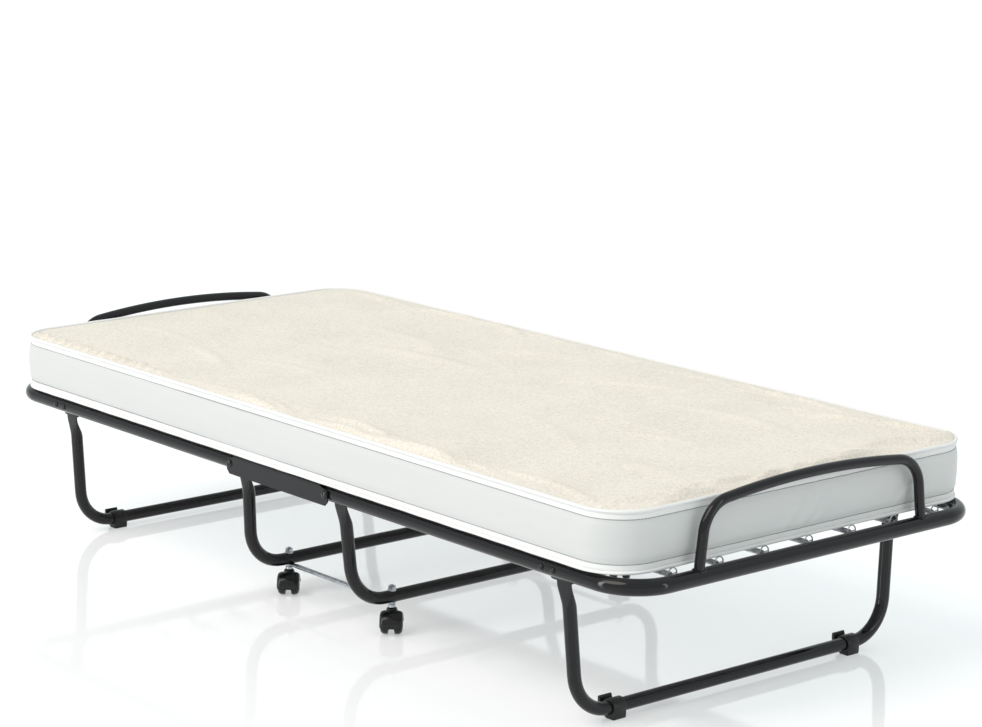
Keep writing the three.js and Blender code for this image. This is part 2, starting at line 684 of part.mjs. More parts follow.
// The trolley's deck between the two hinge channels: the same net, with its cross wires run on
// to the cheeks.
function middleDeck() {
  const places = evenPlaces(-MIDDLE_DECK_END, MIDDLE_DECK_END, MIDDLE_DECK_BAYS);
  return joined(netWires(places, INNER_PLATE_Y - TOUCH_GAP));
}

// The whole mattress before it is divided: round corners in plan and softened edges.
function mattressBlock() {
  const halfLength = MATTRESS_LENGTH / 2 - MATTRESS_EDGE;
  const halfWidth = MATTRESS_WIDTH / 2 - MATTRESS_EDGE;
  const radius = MATTRESS_CORNER_RADIUS - MATTRESS_EDGE;
  const plan = new THREE.Shape();
  plan.moveTo(-halfLength + radius, -halfWidth);
  plan.lineTo(halfLength - radius, -halfWidth);
  plan.absarc(halfLength - radius, -halfWidth + radius, radius, -Math.PI / 2, 0);
  plan.absarc(halfLength - radius, halfWidth - radius, radius, 0, Math.PI / 2);
  plan.absarc(-halfLength + radius, halfWidth - radius, radius, Math.PI / 2, Math.PI);
  plan.absarc(-halfLength + radius, -halfWidth + radius, radius, Math.PI, 1.5 * Math.PI);
  return new THREE.ExtrudeGeometry(plan, {
    depth: MATTRESS_THICKNESS - 2 * MATTRESS_EDGE,
    bevelThickness: MATTRESS_EDGE,
    bevelSize: MATTRESS_EDGE,
    bevelSegments: 1,
    curveSegments: MATTRESS_CORNER_SEGMENTS,
  }).translate(0, 0, MATTRESS_BOTTOM + MATTRESS_EDGE);
}

// The mattress is divided where it bends, on slopes that pass through the fold axes,
// so that each half keeps clear of the other when the bed is folded.
function mattressMiddle() {
  const low = HINGE_OFFSET + MATTRESS_RISE - TOUCH_GAP;
  const high = low + MATTRESS_THICKNESS;
  const wedge = outlineOf([
    [-low, MATTRESS_BOTTOM],
    [low, MATTRESS_BOTTOM],
    [high, MATTRESS_BOTTOM + MATTRESS_THICKNESS],
    [-high, MATTRESS_BOTTOM + MATTRESS_THICKNESS],
  ]);
  return within(mattressBlock(), slabAlongY(wedge, -MATTRESS_WIDTH, MATTRESS_WIDTH));
}

function mattressHalf() {
  const low = HINGE_OFFSET + MATTRESS_RISE + TOUCH_GAP;
  const side = outlineOf([
    [low, MATTRESS_BOTTOM],
    [MATTRESS_LENGTH, MATTRESS_BOTTOM],
    [MATTRESS_LENGTH, MATTRESS_BOTTOM + MATTRESS_THICKNESS],
    [low + MATTRESS_THICKNESS, MATTRESS_BOTTOM + MATTRESS_THICKNESS],
  ]);
  return within(mattressBlock(), slabAlongY(side, -MATTRESS_WIDTH, MATTRESS_WIDTH));
}

// A caster's housing in its own frame: stem axis on Z, wheel axle along X, wheels trailing towards -Y.
function casterHousing() {
  const inner = WHEEL_RADIUS + HOOD_GAP;
  const outer = inner + HOOD_WALL;
  const hoodOutline = new THREE.Shape();
  hoodOutline.absarc(0, 0, outer, HOOD_START, HOOD_END, false);
  hoodOutline.absarc(0, 0, inner, HOOD_END, HOOD_START, true);
  const forkFoot = AXLE_RADIUS + FORK_FOOT_MARGIN;
  const forkOutline = new THREE.Shape();
  forkOutline.absarc(0, 0, inner + HOOD_WALL / 2, HOOD_START, HOOD_END, false);
  forkOutline.lineTo(-forkFoot, -forkFoot);
  forkOutline.lineTo(forkFoot, -forkFoot);
  const slab = (outline, halfWidth) =>
    new THREE.ExtrudeGeometry(outline, {
      depth: 2 * halfWidth,
      bevelEnabled: false,
      curveSegments: HOOD_SEGMENTS,
    })
      .translate(0, 0, -halfWidth)
      .rotateX(Math.PI / 2)
      .rotateZ(Math.PI / 2)
      .translate(0, -CASTER_TRAIL, WHEEL_RADIUS);
  const body = joined([
    slab(hoodOutline, WHEEL_OUTER),
    slab(forkOutline, FORK_HALF),
    rodAlongZ(BOSS_RADIUS, HOOD_TOP - HOOD_WALL, BOSS_TOP, 0, 0, BOSS_SIDES),
  ]);
  const axleHole = AXLE_RADIUS + HOLE_GAP;
  return cutBy(body, [
    rodAlongZ(BOLT_HOLE_RADIUS, STEM_BOTTOM - TOUCH_GAP, BOSS_TOP + DRILL_OVERRUN, 0, 0, HOLE_SIDES),
    rodAlongX(axleHole, -WHEEL_OUTER, WHEEL_OUTER, -CASTER_TRAIL, WHEEL_RADIUS, HOLE_SIDES),
  ]);
}

// A caster's two wheels on their common axle, in the housing's frame.
function casterWheels() {
  const half = [
    [AXLE_RADIUS, WHEEL_INNER],
    [WHEEL_RADIUS - WHEEL_EDGE, WHEEL_INNER],
    [WHEEL_RADIUS, WHEEL_INNER + WHEEL_EDGE],
    [WHEEL_RADIUS, WHEEL_OUTER - WHEEL_SHOULDER_RUN],
    [WHEEL_RADIUS - WHEEL_SHOULDER_DROP, WHEEL_OUTER - WHEEL_FACE_RISE],
    [0, WHEEL_OUTER],
  ];
  const otherHalf = half.map(([radius, along]) => [radius, -along]).reverse();
  return turnedAlongY([...otherHalf, ...half], WHEEL_SIDES)
    .rotateZ(-Math.PI / 2)
    .translate(0, -CASTER_TRAIL, WHEEL_RADIUS);
}

// A caster's threaded stem with its collar below the tie rod and its nut on top of the leg's bar.
function casterStem() {
  const nutBottom = CENTRE_BAR_HEIGHT + LEG_RADIUS + TOUCH_GAP;
  const nutTop = nutBottom + NUT_THICKNESS;
  return joined([
    rodAlongZ(BOLT_RADIUS, STEM_BOTTOM, nutTop + THREAD_END, 0, 0, TURNED_SIDES),
    rodAlongZ(COLLAR_RADIUS, BOSS_TOP + TOUCH_GAP, COLLAR_TOP, 0, 0, BOSS_SIDES),
    rodAlongZ(NUT_RADIUS, nutBottom, nutTop, 0, 0, NUT_SIDES),
  ]);
}

// A tie rod on the +Y side: a round bar with flat eyes between the caster collars and the legs' bars.
function tieRod() {
  const eyeBottom = COLLAR_TOP + TOUCH_GAP;
  const roundEnd = CENTRE_BAR_X - TIE_ROD_SETBACK;
  const middle = (eyeBottom + TIE_EYE_TOP) / 2;
  const pieces = [rodAlongX(TIE_ROD_RADIUS, -roundEnd, roundEnd, CASTER_Y, middle, TIE_ROD_SIDES)];
  for (const { sign } of ENDS) {
    const x = sign * CENTRE_BAR_X;
    const [neckStart, neckEnd] = [sign * (roundEnd - TIE_NECK_OVERLAP), x].sort((low, high) => low - high);
    const [nearEdge, farEdge] = [CASTER_Y - TIE_NECK_HALF_WIDTH, CASTER_Y + TIE_NECK_HALF_WIDTH];
    pieces.push(rodAlongZ(TIE_EYE_RADIUS, eyeBottom, TIE_EYE_TOP, x, CASTER_Y, BOSS_SIDES));
    pieces.push(box(neckStart, neckEnd, nearEdge, farEdge, eyeBottom, TIE_EYE_TOP));
  }
  const drills = ENDS.map(({ sign }) =>
    holeAlongZ(BOLT_HOLE_RADIUS, eyeBottom, TIE_EYE_TOP, sign * CENTRE_BAR_X, CASTER_Y),
  );
  return cutBy(joined(pieces), drills);
}

// A foot clip on an outer leg's bar, with its origin on the bar's centreline: a band, a flat foot
// and an arm with a raised lip, which points to the head end on both legs.
function footClip() {
  const outer = LEG_RADIUS + TOUCH_GAP + CLIP_WALL;
  const floor = -OUTER_BAR_HEIGHT;
  const cheek = outer * CLIP_CHEEK;
  const band = rodAlongY(outer, 0, CLIP_WIDTH, 0, 0, CLIP_SIDES);
  const foot = outlineOf([
    [-CLIP_HEEL, floor],
    [CLIP_TOE, floor],
    [CLIP_TOE + CLIP_TOE_FLARE, floor + CLIP_TOE_HEIGHT],
    [cheek, 0],
    [-cheek, 0],
    [-outer, floor + CLIP_HEEL_HEIGHT],
  ]);
  const lipInner = -CLIP_ARM_END + CLIP_ARM_THICKNESS;
  const arm = outlineOf([
    [-CLIP_ARM_END, 0],
    [0, 0],
    [0, CLIP_ARM_THICKNESS],
    [lipInner, CLIP_ARM_THICKNESS],
    [lipInner, CLIP_LIP_TOP - CLIP_LIP_CHAMFER],
    [lipInner - CLIP_LIP_CHAMFER, CLIP_LIP_TOP],
    [-CLIP_ARM_END + CLIP_LIP_CHAMFER, CLIP_LIP_TOP],
    [-CLIP_ARM_END, CLIP_LIP_TOP - CLIP_LIP_CHAMFER],
  ]);
  const body = joined([band, slabAlongY(foot, 0, CLIP_WIDTH), slabAlongY(arm, 0, CLIP_WIDTH)]);
  const boreEnd = CLIP_WIDTH + DRILL_OVERRUN;
  const bore = rodAlongY(LEG_RADIUS + TOUCH_GAP, -DRILL_OVERRUN, boreEnd, 0, 0, CLIP_SIDES);
  return cutBy(body, [bore]).translate(0, CLIP_Y - CLIP_WIDTH / 2, OUTER_BAR_HEIGHT);
}

// The bed.

const bed = new THREE.Group();

// Adds a named piece in one of the finishes.
function addPiece(name, geometry, finish) {
  const mesh = new THREE.Mesh(geometry, FINISH[finish]);
  mesh.name = name;
  bed.add(mesh);
  return mesh;
}

// A copy of a geometry, mirrored in X where signX is -1 and in Y where signY is -1, with its faces
// still pointing out.
function mirrored(geometry, signX, signY) {
  const copy = geometry.clone().scale(signX, signY, 1);
  if (signX * signY > 0) return copy;
  const flat = copy.index ? copy.toNonIndexed() : copy;
  const positions = flat.attributes.position;
  for (let corner = 0; corner < positions.count; corner += 3) {
    const second = new THREE.Vector3().fromBufferAttribute(positions, corner + 1);
    const third = new THREE.Vector3().fromBufferAttribute(positions, corner + 2);
    positions.setXYZ(corner + 1, third.x, third.y, third.z);
    positions.setXYZ(corner + 2, second.x, second.y, second.z);
  }
  flat.computeVertexNormals();
  return flat;
}

for (const side of SIDES) {
  addPiece(`hinge_channel_${side.name}`, mirrored(hingeChannel(), 1, side.sign), "black_enamel");
  addPiece(`tie_rod_${side.name}`, mirrored(tieRod(), 1, side.sign), "zinc");
}
addPiece("middle_deck", middleDeck(), "spring_steel");
addPiece("mattress_middle", mattressMiddle(), "mattress_fabric");

for (const end of ENDS) {
  addPiece(`centre_leg_${end.name}`, mirrored(centreLeg(), end.sign, 1), "black_enamel");
  addPiece(`${end.name}_rail`, mirrored(railTube(), end.sign, 1), "black_enamel");
  addPiece(`${end.name}_hoop`, mirrored(guardHoop(), end.sign, 1), "black_enamel");
  addPiece(`${end.name}_deck`, mirrored(halfDeck(), end.sign, 1), "spring_steel");
  addPiece(`mattress_${end.name}`, mirrored(mattressHalf(), end.sign, 1), "mattress_fabric");
  addPiece(`${end.name}_leg`, mirrored(outerLeg(), end.sign, 1), "black_enamel");

  for (const side of SIDES) {
    const place = `${end.name}_${side.name}`;
    const bolt = hingeBolt().translate(HINGE_OFFSET, 0, RAIL_HEIGHT);
    const pin = legPin().translate(OUTER_PIVOT_X, 0, OUTER_PIVOT_HEIGHT);
    addPiece(`hinge_bolt_${place}`, mirrored(bolt, end.sign, side.sign), "zinc");
    addPiece(`leg_bracket_${place}`, mirrored(legBracket(), end.sign, side.sign), "black_enamel");
    addPiece(`leg_pin_${place}`, mirrored(pin, end.sign, side.sign), "zinc");
    const clip = mirrored(footClip(), 1, side.sign).translate(end.sign * OUTER_BAR_X, 0, 0);
    addPiece(`foot_clip_${place}`, clip, "black_plastic");
    rivetPlaces().forEach((x, index) => {
      const rivet = railRivet().translate(x, 0, RAIL_HEIGHT);
      addPiece(`rivet_${place}_${index + 1}`, mirrored(rivet, end.sign, side.sign), "black_enamel");
    });

    const stemX = end.sign * CENTRE_BAR_X;
    const stemY = side.sign * CASTER_Y;
    addPiece(`caster_stem_${place}`, casterStem(), "zinc").position.set(stemX, stemY, 0);
    const caster = new THREE.Group();
    caster.position.set(stemX, stemY, 0);
    caster.rotation.z = CASTER_YAW;
    caster.add(addPiece(`caster_housing_${place}`, casterHousing(), "black_plastic"));
    caster.add(addPiece(`caster_wheels_${place}`, casterWheels(), "black_plastic"));
    bed.add(caster);
  }
}

export default bed;
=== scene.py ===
"""Look model of a folding guest bed.

A centre trolley on four swivel casters carries two half-frames, each with a sprung deck, a mattress
guard hoop and a folding U-shaped leg. One boxed foam mattress lies over the whole length.
Metres, +X to the foot end, +Y to the far side, +Z up.
"""

import json
import logging
import math
from dataclasses import dataclass, field
from enum import Enum
from typing import Iterable, Iterator, Sequence

import bmesh
import bpy
import numpy as np
from mathutils import Matrix, Vector


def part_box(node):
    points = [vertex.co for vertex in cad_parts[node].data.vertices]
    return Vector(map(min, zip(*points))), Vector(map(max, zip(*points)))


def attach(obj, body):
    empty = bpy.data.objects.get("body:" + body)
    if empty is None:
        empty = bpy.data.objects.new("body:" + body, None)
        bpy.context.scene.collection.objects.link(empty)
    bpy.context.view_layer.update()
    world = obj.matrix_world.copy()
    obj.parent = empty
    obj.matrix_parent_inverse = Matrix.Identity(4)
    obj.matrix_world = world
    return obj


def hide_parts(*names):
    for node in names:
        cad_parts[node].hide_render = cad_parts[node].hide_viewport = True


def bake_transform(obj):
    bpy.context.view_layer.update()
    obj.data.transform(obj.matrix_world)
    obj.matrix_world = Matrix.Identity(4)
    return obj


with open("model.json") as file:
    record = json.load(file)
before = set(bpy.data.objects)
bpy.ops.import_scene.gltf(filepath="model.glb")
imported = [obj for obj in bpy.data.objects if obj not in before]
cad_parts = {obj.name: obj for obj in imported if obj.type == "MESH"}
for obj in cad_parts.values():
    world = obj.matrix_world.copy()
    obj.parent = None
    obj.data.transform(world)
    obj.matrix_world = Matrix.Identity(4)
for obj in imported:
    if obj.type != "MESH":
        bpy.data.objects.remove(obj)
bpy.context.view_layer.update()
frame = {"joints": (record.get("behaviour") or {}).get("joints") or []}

log = logging.getLogger("guest_bed")
TAU = 2.0 * math.pi
Ring = list[Vector]
Point = tuple[float, float]


class End(Enum):
    """The two ends of the bed, with the sign of X there."""

    HEAD = -1
    FOOT = 1

    @property
    def word(self) -> str:
        """The end's name as the bodies and nodes spell it."""
        return self.name.lower()


class Side(Enum):
    """The two long sides of the bed, with the sign of Y there."""

    NEAR = -1
    FAR = 1

    @property
    def word(self) -> str:
        """The side's name as the nodes spell it."""
        return self.name.lower()


class Slot(Enum):
    """The record's finish slots."""

    ENAMEL = "black_enamel"
    ZINC = "zinc"
    PLASTIC = "black_plastic"
    SPRING = "spring_steel"
    FABRIC = "mattress_fabric"


# Shader graphs.


class Shade:
    """One value output in a shader graph, with the arithmetic that adds its Math nodes."""

    def __init__(self, graph: "Graph", socket: bpy.types.NodeSocket) -> None:
        """Wraps a socket.

        Args:
            graph: the graph that owns the socket.
            socket: the output to wrap.
        """
        self.graph = graph
        self.socket = socket

    def _math(self, operation: str, first: "Shade | float", second: "Shade | float") -> "Shade":
        """One Math node.

        Args:
            operation: the node's operation.
            first: its first input.
            second: its second input.

        Returns:
            The node's output.
        """
        return self.graph.out("ShaderNodeMath", {"operation": operation}, {0: first, 1: second})

    def __add__(self, other: "Shade | float") -> "Shade":
        """self + other."""
        return self._math("ADD", self, other)

    __radd__ = __add__

    def __mul__(self, other: "Shade | float") -> "Shade":
        """self * other."""
        return self._math("MULTIPLY", self, other)

    __rmul__ = __mul__

    def __sub__(self, other: "Shade | float") -> "Shade":
        """self - other."""
        return self._math("SUBTRACT", self, other)

    def __rsub__(self, other: "Shade | float") -> "Shade":
        """other - self."""
        return self._math("SUBTRACT", other, self)

    def __pow__(self, other: "Shade | float") -> "Shade":
        """self to the power of other."""
        return self._math("POWER", self, other)

    def between(self, low: float, high: float) -> "Shade":
        """The share of the way from low to high, held between 0 and 1.

        Args:
            low: the value that gives 0.
            high: the value that gives 1.

        Returns:
            The share.
        """
        return self.graph.out(
            "ShaderNodeMapRange",
            {"clamp": True, "interpolation_type": "SMOOTHSTEP"},
            {"Value": self, "From Min": low, "From Max": high},
        )


class Graph:
    """A material's node graph around one Principled surface."""

    def __init__(self, name: str) -> None:
        """Makes an empty material.

        Args:
            name: the material's name.
        """
        self.material = bpy.data.materials.new(name)
        self.material.use_nodes = True
        self.tree = self.material.node_tree
        self.tree.nodes.clear()
        self.surface = self.node("ShaderNodeBsdfPrincipled")
        end = self.tree.nodes.new("ShaderNodeOutputMaterial")
        self.tree.links.new(self.surface.outputs[0], end.inputs["Surface"])

    def node(self, kind: str, settings: dict | None = None, inputs: dict | None = None) -> bpy.types.Node:
        """Adds one node.

        Args:
            kind: the node's type.
            settings: its properties, set before its inputs.
            inputs: values or links for its sockets, by name or number.

        Returns:
            The node.
        """
        made = self.tree.nodes.new(kind)
        for key, value in (settings or {}).items():
            if key == "stops":
                self._set_stops(made, value)
            else:
                setattr(made, key, value)
        for key, value in (inputs or {}).items():
            self.feed(made, key, value)
        return made

    def out(self, kind: str, settings: dict | None = None, inputs: dict | None = None, output: int = 0) -> Shade:
        """Adds one node and wraps one of its outputs.

        Args:
            kind: the node's type.
            settings: its properties.
            inputs: values or links for its sockets.
            output: the number of the output that is wanted.

        Returns:
            The wrapped output.
        """
        return Shade(self, self.node(kind, settings, inputs).outputs[output])

    def feed(self, node: bpy.types.Node, key: int | str, value: object) -> None:
        """Sets one input of a node to a value, or links it.

        Args:
            node: the node.
            key: the input's name or number.
            value: a number, a tuple or a wrapped output.
        """
        socket = node.inputs[key]
        if isinstance(value, Shade):
            self.tree.links.new(value.socket, socket)
        else:
            socket.default_value = value

    def set(self, **inputs: object) -> None:
        """Sets or links inputs of the surface; an underscore stands for a space."""
        for key, value in inputs.items():
            self.feed(self.surface, key.replace("_", " "), value)

    def _set_stops(self, ramp: bpy.types.Node, stops: Sequence[tuple[float, tuple]]) -> None:
        """Gives a colour ramp its stops.

        Args:
            ramp: the ramp's node.
            stops: places and colours.
        """
        elements = ramp.color_ramp.elements
        while len(elements) < len(stops):
            elements.new(1.0)
        for element, (place, colour) in zip(elements, stops):
            element.position = place
            element.color = (*colour, 1.0)

    def place(self) -> Shade:
        """The object's own coordinates, which stay with it when it moves."""
        return self.out("ShaderNodeTexCoord", output=3)

    def mark(self, name: str) -> Shade:
        """A number that the mesh carries at each vertex.

        Args:
            name: the attribute's name.

        Returns:
            Its value.
        """
        return self.out("ShaderNodeAttribute", {"attribute_name": name}, output=2)

    def stretched(self, scale: tuple[float, float, float]) -> Shade:
        """The object's coordinates, scaled by axis.

        Args:
            scale: the factor for each axis.

        Returns:
            The scaled coordinates.
        """
        return self.out("ShaderNodeMapping", None, {"Vector": self.place(), "Scale": scale})

    def noise(self, scale: float, detail: float = 3.0, along: Shade | None = None) -> Shade:
        """Cloudy noise.

        Args:
            scale: how many cells there are in a metre.
            detail: how many octaves it has.
            along: its coordinates, where they aren't the object's own.

        Returns:
            The noise from 0 to 1.
        """
        spot = along or self.place()
        return self.out("ShaderNodeTexNoise", None, {"Vector": spot, "Scale": scale, "Detail": detail})

    def cells(self, scale: float, along: Shade | None = None) -> Shade:
        """The distance to the nearest of many scattered points.

        Args:
            scale: how many points there are in a metre.
            along: its coordinates, where they aren't the object's own.

        Returns:
            The distance.
        """
        spot = along or self.place()
        return self.out("ShaderNodeTexVoronoi", None, {"Vector": spot, "Scale": scale})

    def wave(self, value: Shade, pitch: float) -> Shade:
        """A smooth ripple from 0 to 1.

        Args:
            value: the distance along the ripple, in metres.
            pitch: one ripple's length.

        Returns:
            The ripple.
        """
        sine = self.out("ShaderNodeMath", {"operation": "SINE"}, {0: value * (TAU / pitch)})
        return sine * 0.5 + 0.5

    def mixed(self, share: Shade, first: tuple, second: tuple) -> Shade:
        """One colour changing into another.

        Args:
            share: 0 for the first and 1 for the second.
            first: a colour.
            second: a colour.

        Returns:
            The colour.
        """
        stops = [(0.0, first), (1.0, second)]
        return self.out("ShaderNodeValToRGB", {"stops": stops}, {0: share})

    def bump(self, height: Shade, depth: float, strength: float = 1.0) -> None:
        """Raises the surface by a height pattern.

        Args:
            height: the pattern, from 0 to 1.
            depth: its rise in metres.
            strength: how much of it shows.
        """
        normal = self.out("ShaderNodeBump", None, {"Strength": strength, "Distance": depth, "Height": height})
        self.set(Normal=normal)


# Finishes.


@dataclass(frozen=True)
class Enamel:
    """Black stoved enamel on steel: glossy, with faint orange peel, and rubbed dull in small patches."""

    name: str = "stoved_black_enamel"
    tone: tuple = (0.0062, 0.0058, 0.0072)
    rubbed_tone: tuple = (0.021, 0.020, 0.023)
    gloss: float = 0.08
    peel_scale: float = 420.0

    def make(self) -> bpy.types.Material:
        """Builds the material.

        Returns:
            The material.
        """
        graph = Graph(self.name)
        rubs = graph.noise(38.0, 6.0).between(0.60, 0.80) * graph.noise(310.0, 3.0).between(0.48, 0.62)
        haze = graph.noise(9.0, 4.0)
        graph.set(
            Base_Color=graph.mixed(rubs * 0.6, self.tone, self.rubbed_tone),
            Roughness=haze * 0.05 + rubs * 0.16 + self.gloss,
            Specular_IOR_Level=0.32,
        )
        graph.bump(graph.noise(self.peel_scale, 2.0), 0.00004, 0.40)
        return graph.material


@dataclass(frozen=True)
class Zinc:
    """Bright zinc plate with rolling streaks and dull spots."""

    name: str = "bright_zinc_plate"
    tone: tuple = (0.46, 0.48, 0.51)
    dull_tone: tuple = (0.24, 0.26, 0.28)

    def make(self) -> bpy.types.Material:
        """Builds the material.

        Returns:
            The material.
        """
        graph = Graph(self.name)
        spots = graph.noise(140.0, 5.0).between(0.45, 0.72)
        streaks = graph.noise(60.0, 3.0, graph.stretched((1.0, 14.0, 14.0)))
        graph.set(
            Base_Color=graph.mixed(spots, self.tone, self.dull_tone),
            Metallic=1.0,
            Roughness=streaks * 0.22 + spots * 0.12 + 0.16,
        )
        graph.bump(streaks, 0.00008, 0.5)
        return graph.material


@dataclass(frozen=True)
class SpringSteel:
    """Bright hard-drawn spring wire with duller patches and drawing lines."""

    name: str = "drawn_spring_wire"
    tone: tuple = (0.52, 0.53, 0.55)
    dark_tone: tuple = (0.26, 0.265, 0.28)

    def make(self) -> bpy.types.Material:
        """Builds the material.

        Returns:
            The material.
        """
        graph = Graph(self.name)
        patches = graph.noise(48.0, 4.0).between(0.35, 0.70)
        graph.set(
            Base_Color=graph.mixed(patches, self.dark_tone, self.tone),
            Metallic=0.7,
            Roughness=patches * 0.18 + 0.26,
        )
        graph.bump(graph.noise(1600.0, 2.0), 0.00005, 0.5)
        return graph.material


@dataclass(frozen=True)
class Plastic:
    """Black moulded plastic with a fine spark-eroded grain and scuffs."""

    name: str
    gloss: float
    grain_depth: float
    tone: tuple = (0.0075, 0.0073, 0.0080)
    scuffed_tone: tuple = (0.035, 0.034, 0.036)

    def make(self) -> bpy.types.Material:
        """Builds the material.

        Returns:
            The material.
        """
        graph = Graph(self.name)
        scuffs = graph.noise(85.0, 7.0).between(0.62, 0.82)
        graph.set(
            Base_Color=graph.mixed(scuffs * 0.5, self.tone, self.scuffed_tone),
            Roughness=scuffs * 0.25 + graph.noise(24.0) * 0.08 + self.gloss,
            Specular_IOR_Level=0.32,
        )
        graph.bump(graph.noise(1500.0, 2.0), self.grain_depth, 0.6)
        return graph.material


@dataclass(frozen=True)
class Terry:
    """Cream towelling on the mattress's sleeping side: a looped pile with brushed, uneven patches, and painted shade
    darkening the pile's hollows.
    """

    name: str = "cream_towelling"
    tone: tuple = (0.83, 0.775, 0.70)
    # Painted shade for the pile's hollows; this tone also darkens the brushed patches.
    hollow_tone: tuple = (0.53, 0.49, 0.42)
    pile_scale: float = 520.0

    def make(self) -> bpy.types.Material:
        """Builds the material.

        Returns:
            The material.
        """
        graph = Graph(self.name)
        loops = graph.cells(self.pile_scale).between(0.05, 0.75)
        tufts = graph.noise(190.0, 4.0)
        brushed = graph.noise(7.0, 3.0)
        height = 1.0 - loops * 0.55 - tufts * 0.45
        # The base colour darkens where the pile's bump is low: painted shade between the loops, plus the brushed
        # patches' real tone.
        hollow = loops * 0.46 + tufts.between(0.30, 0.75) * 0.42 + brushed.between(0.35, 0.75) * 0.12
        graph.set(
            Base_Color=graph.mixed(hollow ** 1.6, self.tone, self.hollow_tone),
            Roughness=0.96,
            Sheen_Weight=0.25,
            Sheen_Roughness=0.5,
        )
        graph.bump(height, 0.0016, 0.55)
        return graph.material


@dataclass(frozen=True)
class Satin:
    """Pale polyester satin on the mattress's border: fine threads that run round the border."""

    name: str = "pale_border_satin"
    tone: tuple = (0.595, 0.605, 0.60)
    thread_tone: tuple = (0.53, 0.545, 0.54)

    def make(self) -> bpy.types.Material:
        """Builds the material.

        Returns:
            The material.
        """
        graph = Graph(self.name)
        threads = graph.noise(1.0, 4.0, graph.stretched((22.0, 22.0, 900.0)))
        broad = graph.noise(1.0, 2.0, graph.stretched((5.0, 5.0, 60.0)))
        ribs = graph.wave(graph.mark("rise"), 0.0016)
        graph.set(
            Base_Color=graph.mixed(threads * 0.6 + broad * 0.4, self.tone, self.thread_tone),
            Roughness=threads * 0.14 + 0.40,
            Sheen_Weight=0.35,
            Sheen_Roughness=0.35,
            Specular_IOR_Level=0.45,
        )
        graph.bump(threads * 0.55 + broad * 0.3 + ribs * 0.15, 0.0004, 0.45)
        return graph.material


@dataclass(frozen=True)
class Backing:
    """Off-white spun-bonded cloth under the mattress, with its pattern of welded dots."""

    name: str = "spunbond_backing"
    tone: tuple = (0.68, 0.68, 0.66)
    dot_tone: tuple = (0.56, 0.56, 0.55)

    def make(self) -> bpy.types.Material:
        """Builds the material.

        Returns:
            The material.
        """
        graph = Graph(self.name)
        dots = graph.cells(260.0).between(0.10, 0.35)
        fibres = graph.noise(700.0, 5.0)
        graph.set(Base_Color=graph.mixed(dots, self.dot_tone, self.tone), Roughness=0.9)
        graph.bump(dots * 0.6 + fibres * 0.4, 0.0004, 0.6)
        return graph.material


@dataclass(frozen=True)
class Tape:
    """White woven binding tape: ribs across it, with a soft shine."""

    name: str = "white_binding_tape"
    tone: tuple = (0.78, 0.78, 0.77)
    rib_tone: tuple = (0.66, 0.67, 0.67)

    def make(self) -> bpy.types.Material:
        """Builds the material.

        Returns:
            The material.
        """
        graph = Graph(self.name)
        ribs = graph.wave(graph.mark("run"), 0.0013)
        slubs = graph.noise(240.0, 3.0)
        graph.set(
            Base_Color=graph.mixed(ribs * 0.4 + slubs * 0.3, self.tone, self.rib_tone),
            Roughness=slubs * 0.15 + 0.50,
            Sheen_Weight=0.3,
        )
        graph.bump(ribs * 0.6 + slubs * 0.4, 0.0003, 0.6)
        return graph.material


@dataclass(frozen=True)
class Thread:
    """Light grey sewing thread."""

    name: str = "grey_sewing_thread"
    tone: tuple = (0.24, 0.26, 0.28)
    dark_tone: tuple = (0.16, 0.18, 0.19)

    def make(self) -> bpy.types.Material:
        """Builds the material.

        Returns:
            The material.
        """
        graph = Graph(self.name)
        twist = graph.noise(2200.0, 2.0)
        graph.set(Base_Color=graph.mixed(twist, self.tone, self.dark_tone), Roughness=0.6)
        graph.bump(twist, 0.0001, 0.5)
        return graph.material


@dataclass(frozen=True)
class StudioFloor:
    """A pale, polished studio floor."""

    name: str = "pale_studio_floor"
    tone: tuple = (0.62, 0.63, 0.64)
    glow: float = 0.37

    def make(self) -> bpy.types.Material:
        """Builds the material.

        Returns:
            The material.
        """
        graph = Graph(self.name)
        clouds = graph.noise(0.8, 2.0)
        shades = (self.tone, tuple(0.98 * value for value in self.tone))
        graph.set(
            Base_Color=graph.mixed(clouds, *shades),
            Roughness=clouds * 0.02 + 0.05,
            Specular_IOR_Level=0.75,
            Emission_Color=(0.98, 0.99, 1.0, 1.0),
            Emission_Strength=self.glow,
        )
        return graph.material


class Finishes:
    """Every finish of the bed, built once."""

    def __init__(self) -> None:
        """Builds the materials."""
        self.enamel = Enamel().make()
        self.zinc = Zinc().make()
        self.black_bolt = Zinc("blackened_bolt", (0.060, 0.058, 0.060), (0.020, 0.020, 0.021)).make()
        self.spring = SpringSteel().make()
        self.caster_plastic = Plastic("polished_black_plastic", 0.16, 0.00006).make()
        self.clip_plastic = Plastic("grained_black_plastic", 0.30, 0.00015).make()
        self.terry = Terry().make()
        self.satin = Satin().make()
        self.backing = Backing().make()
        self.tape = Tape().make()
        self.thread = Thread().make()


# Mesh building.


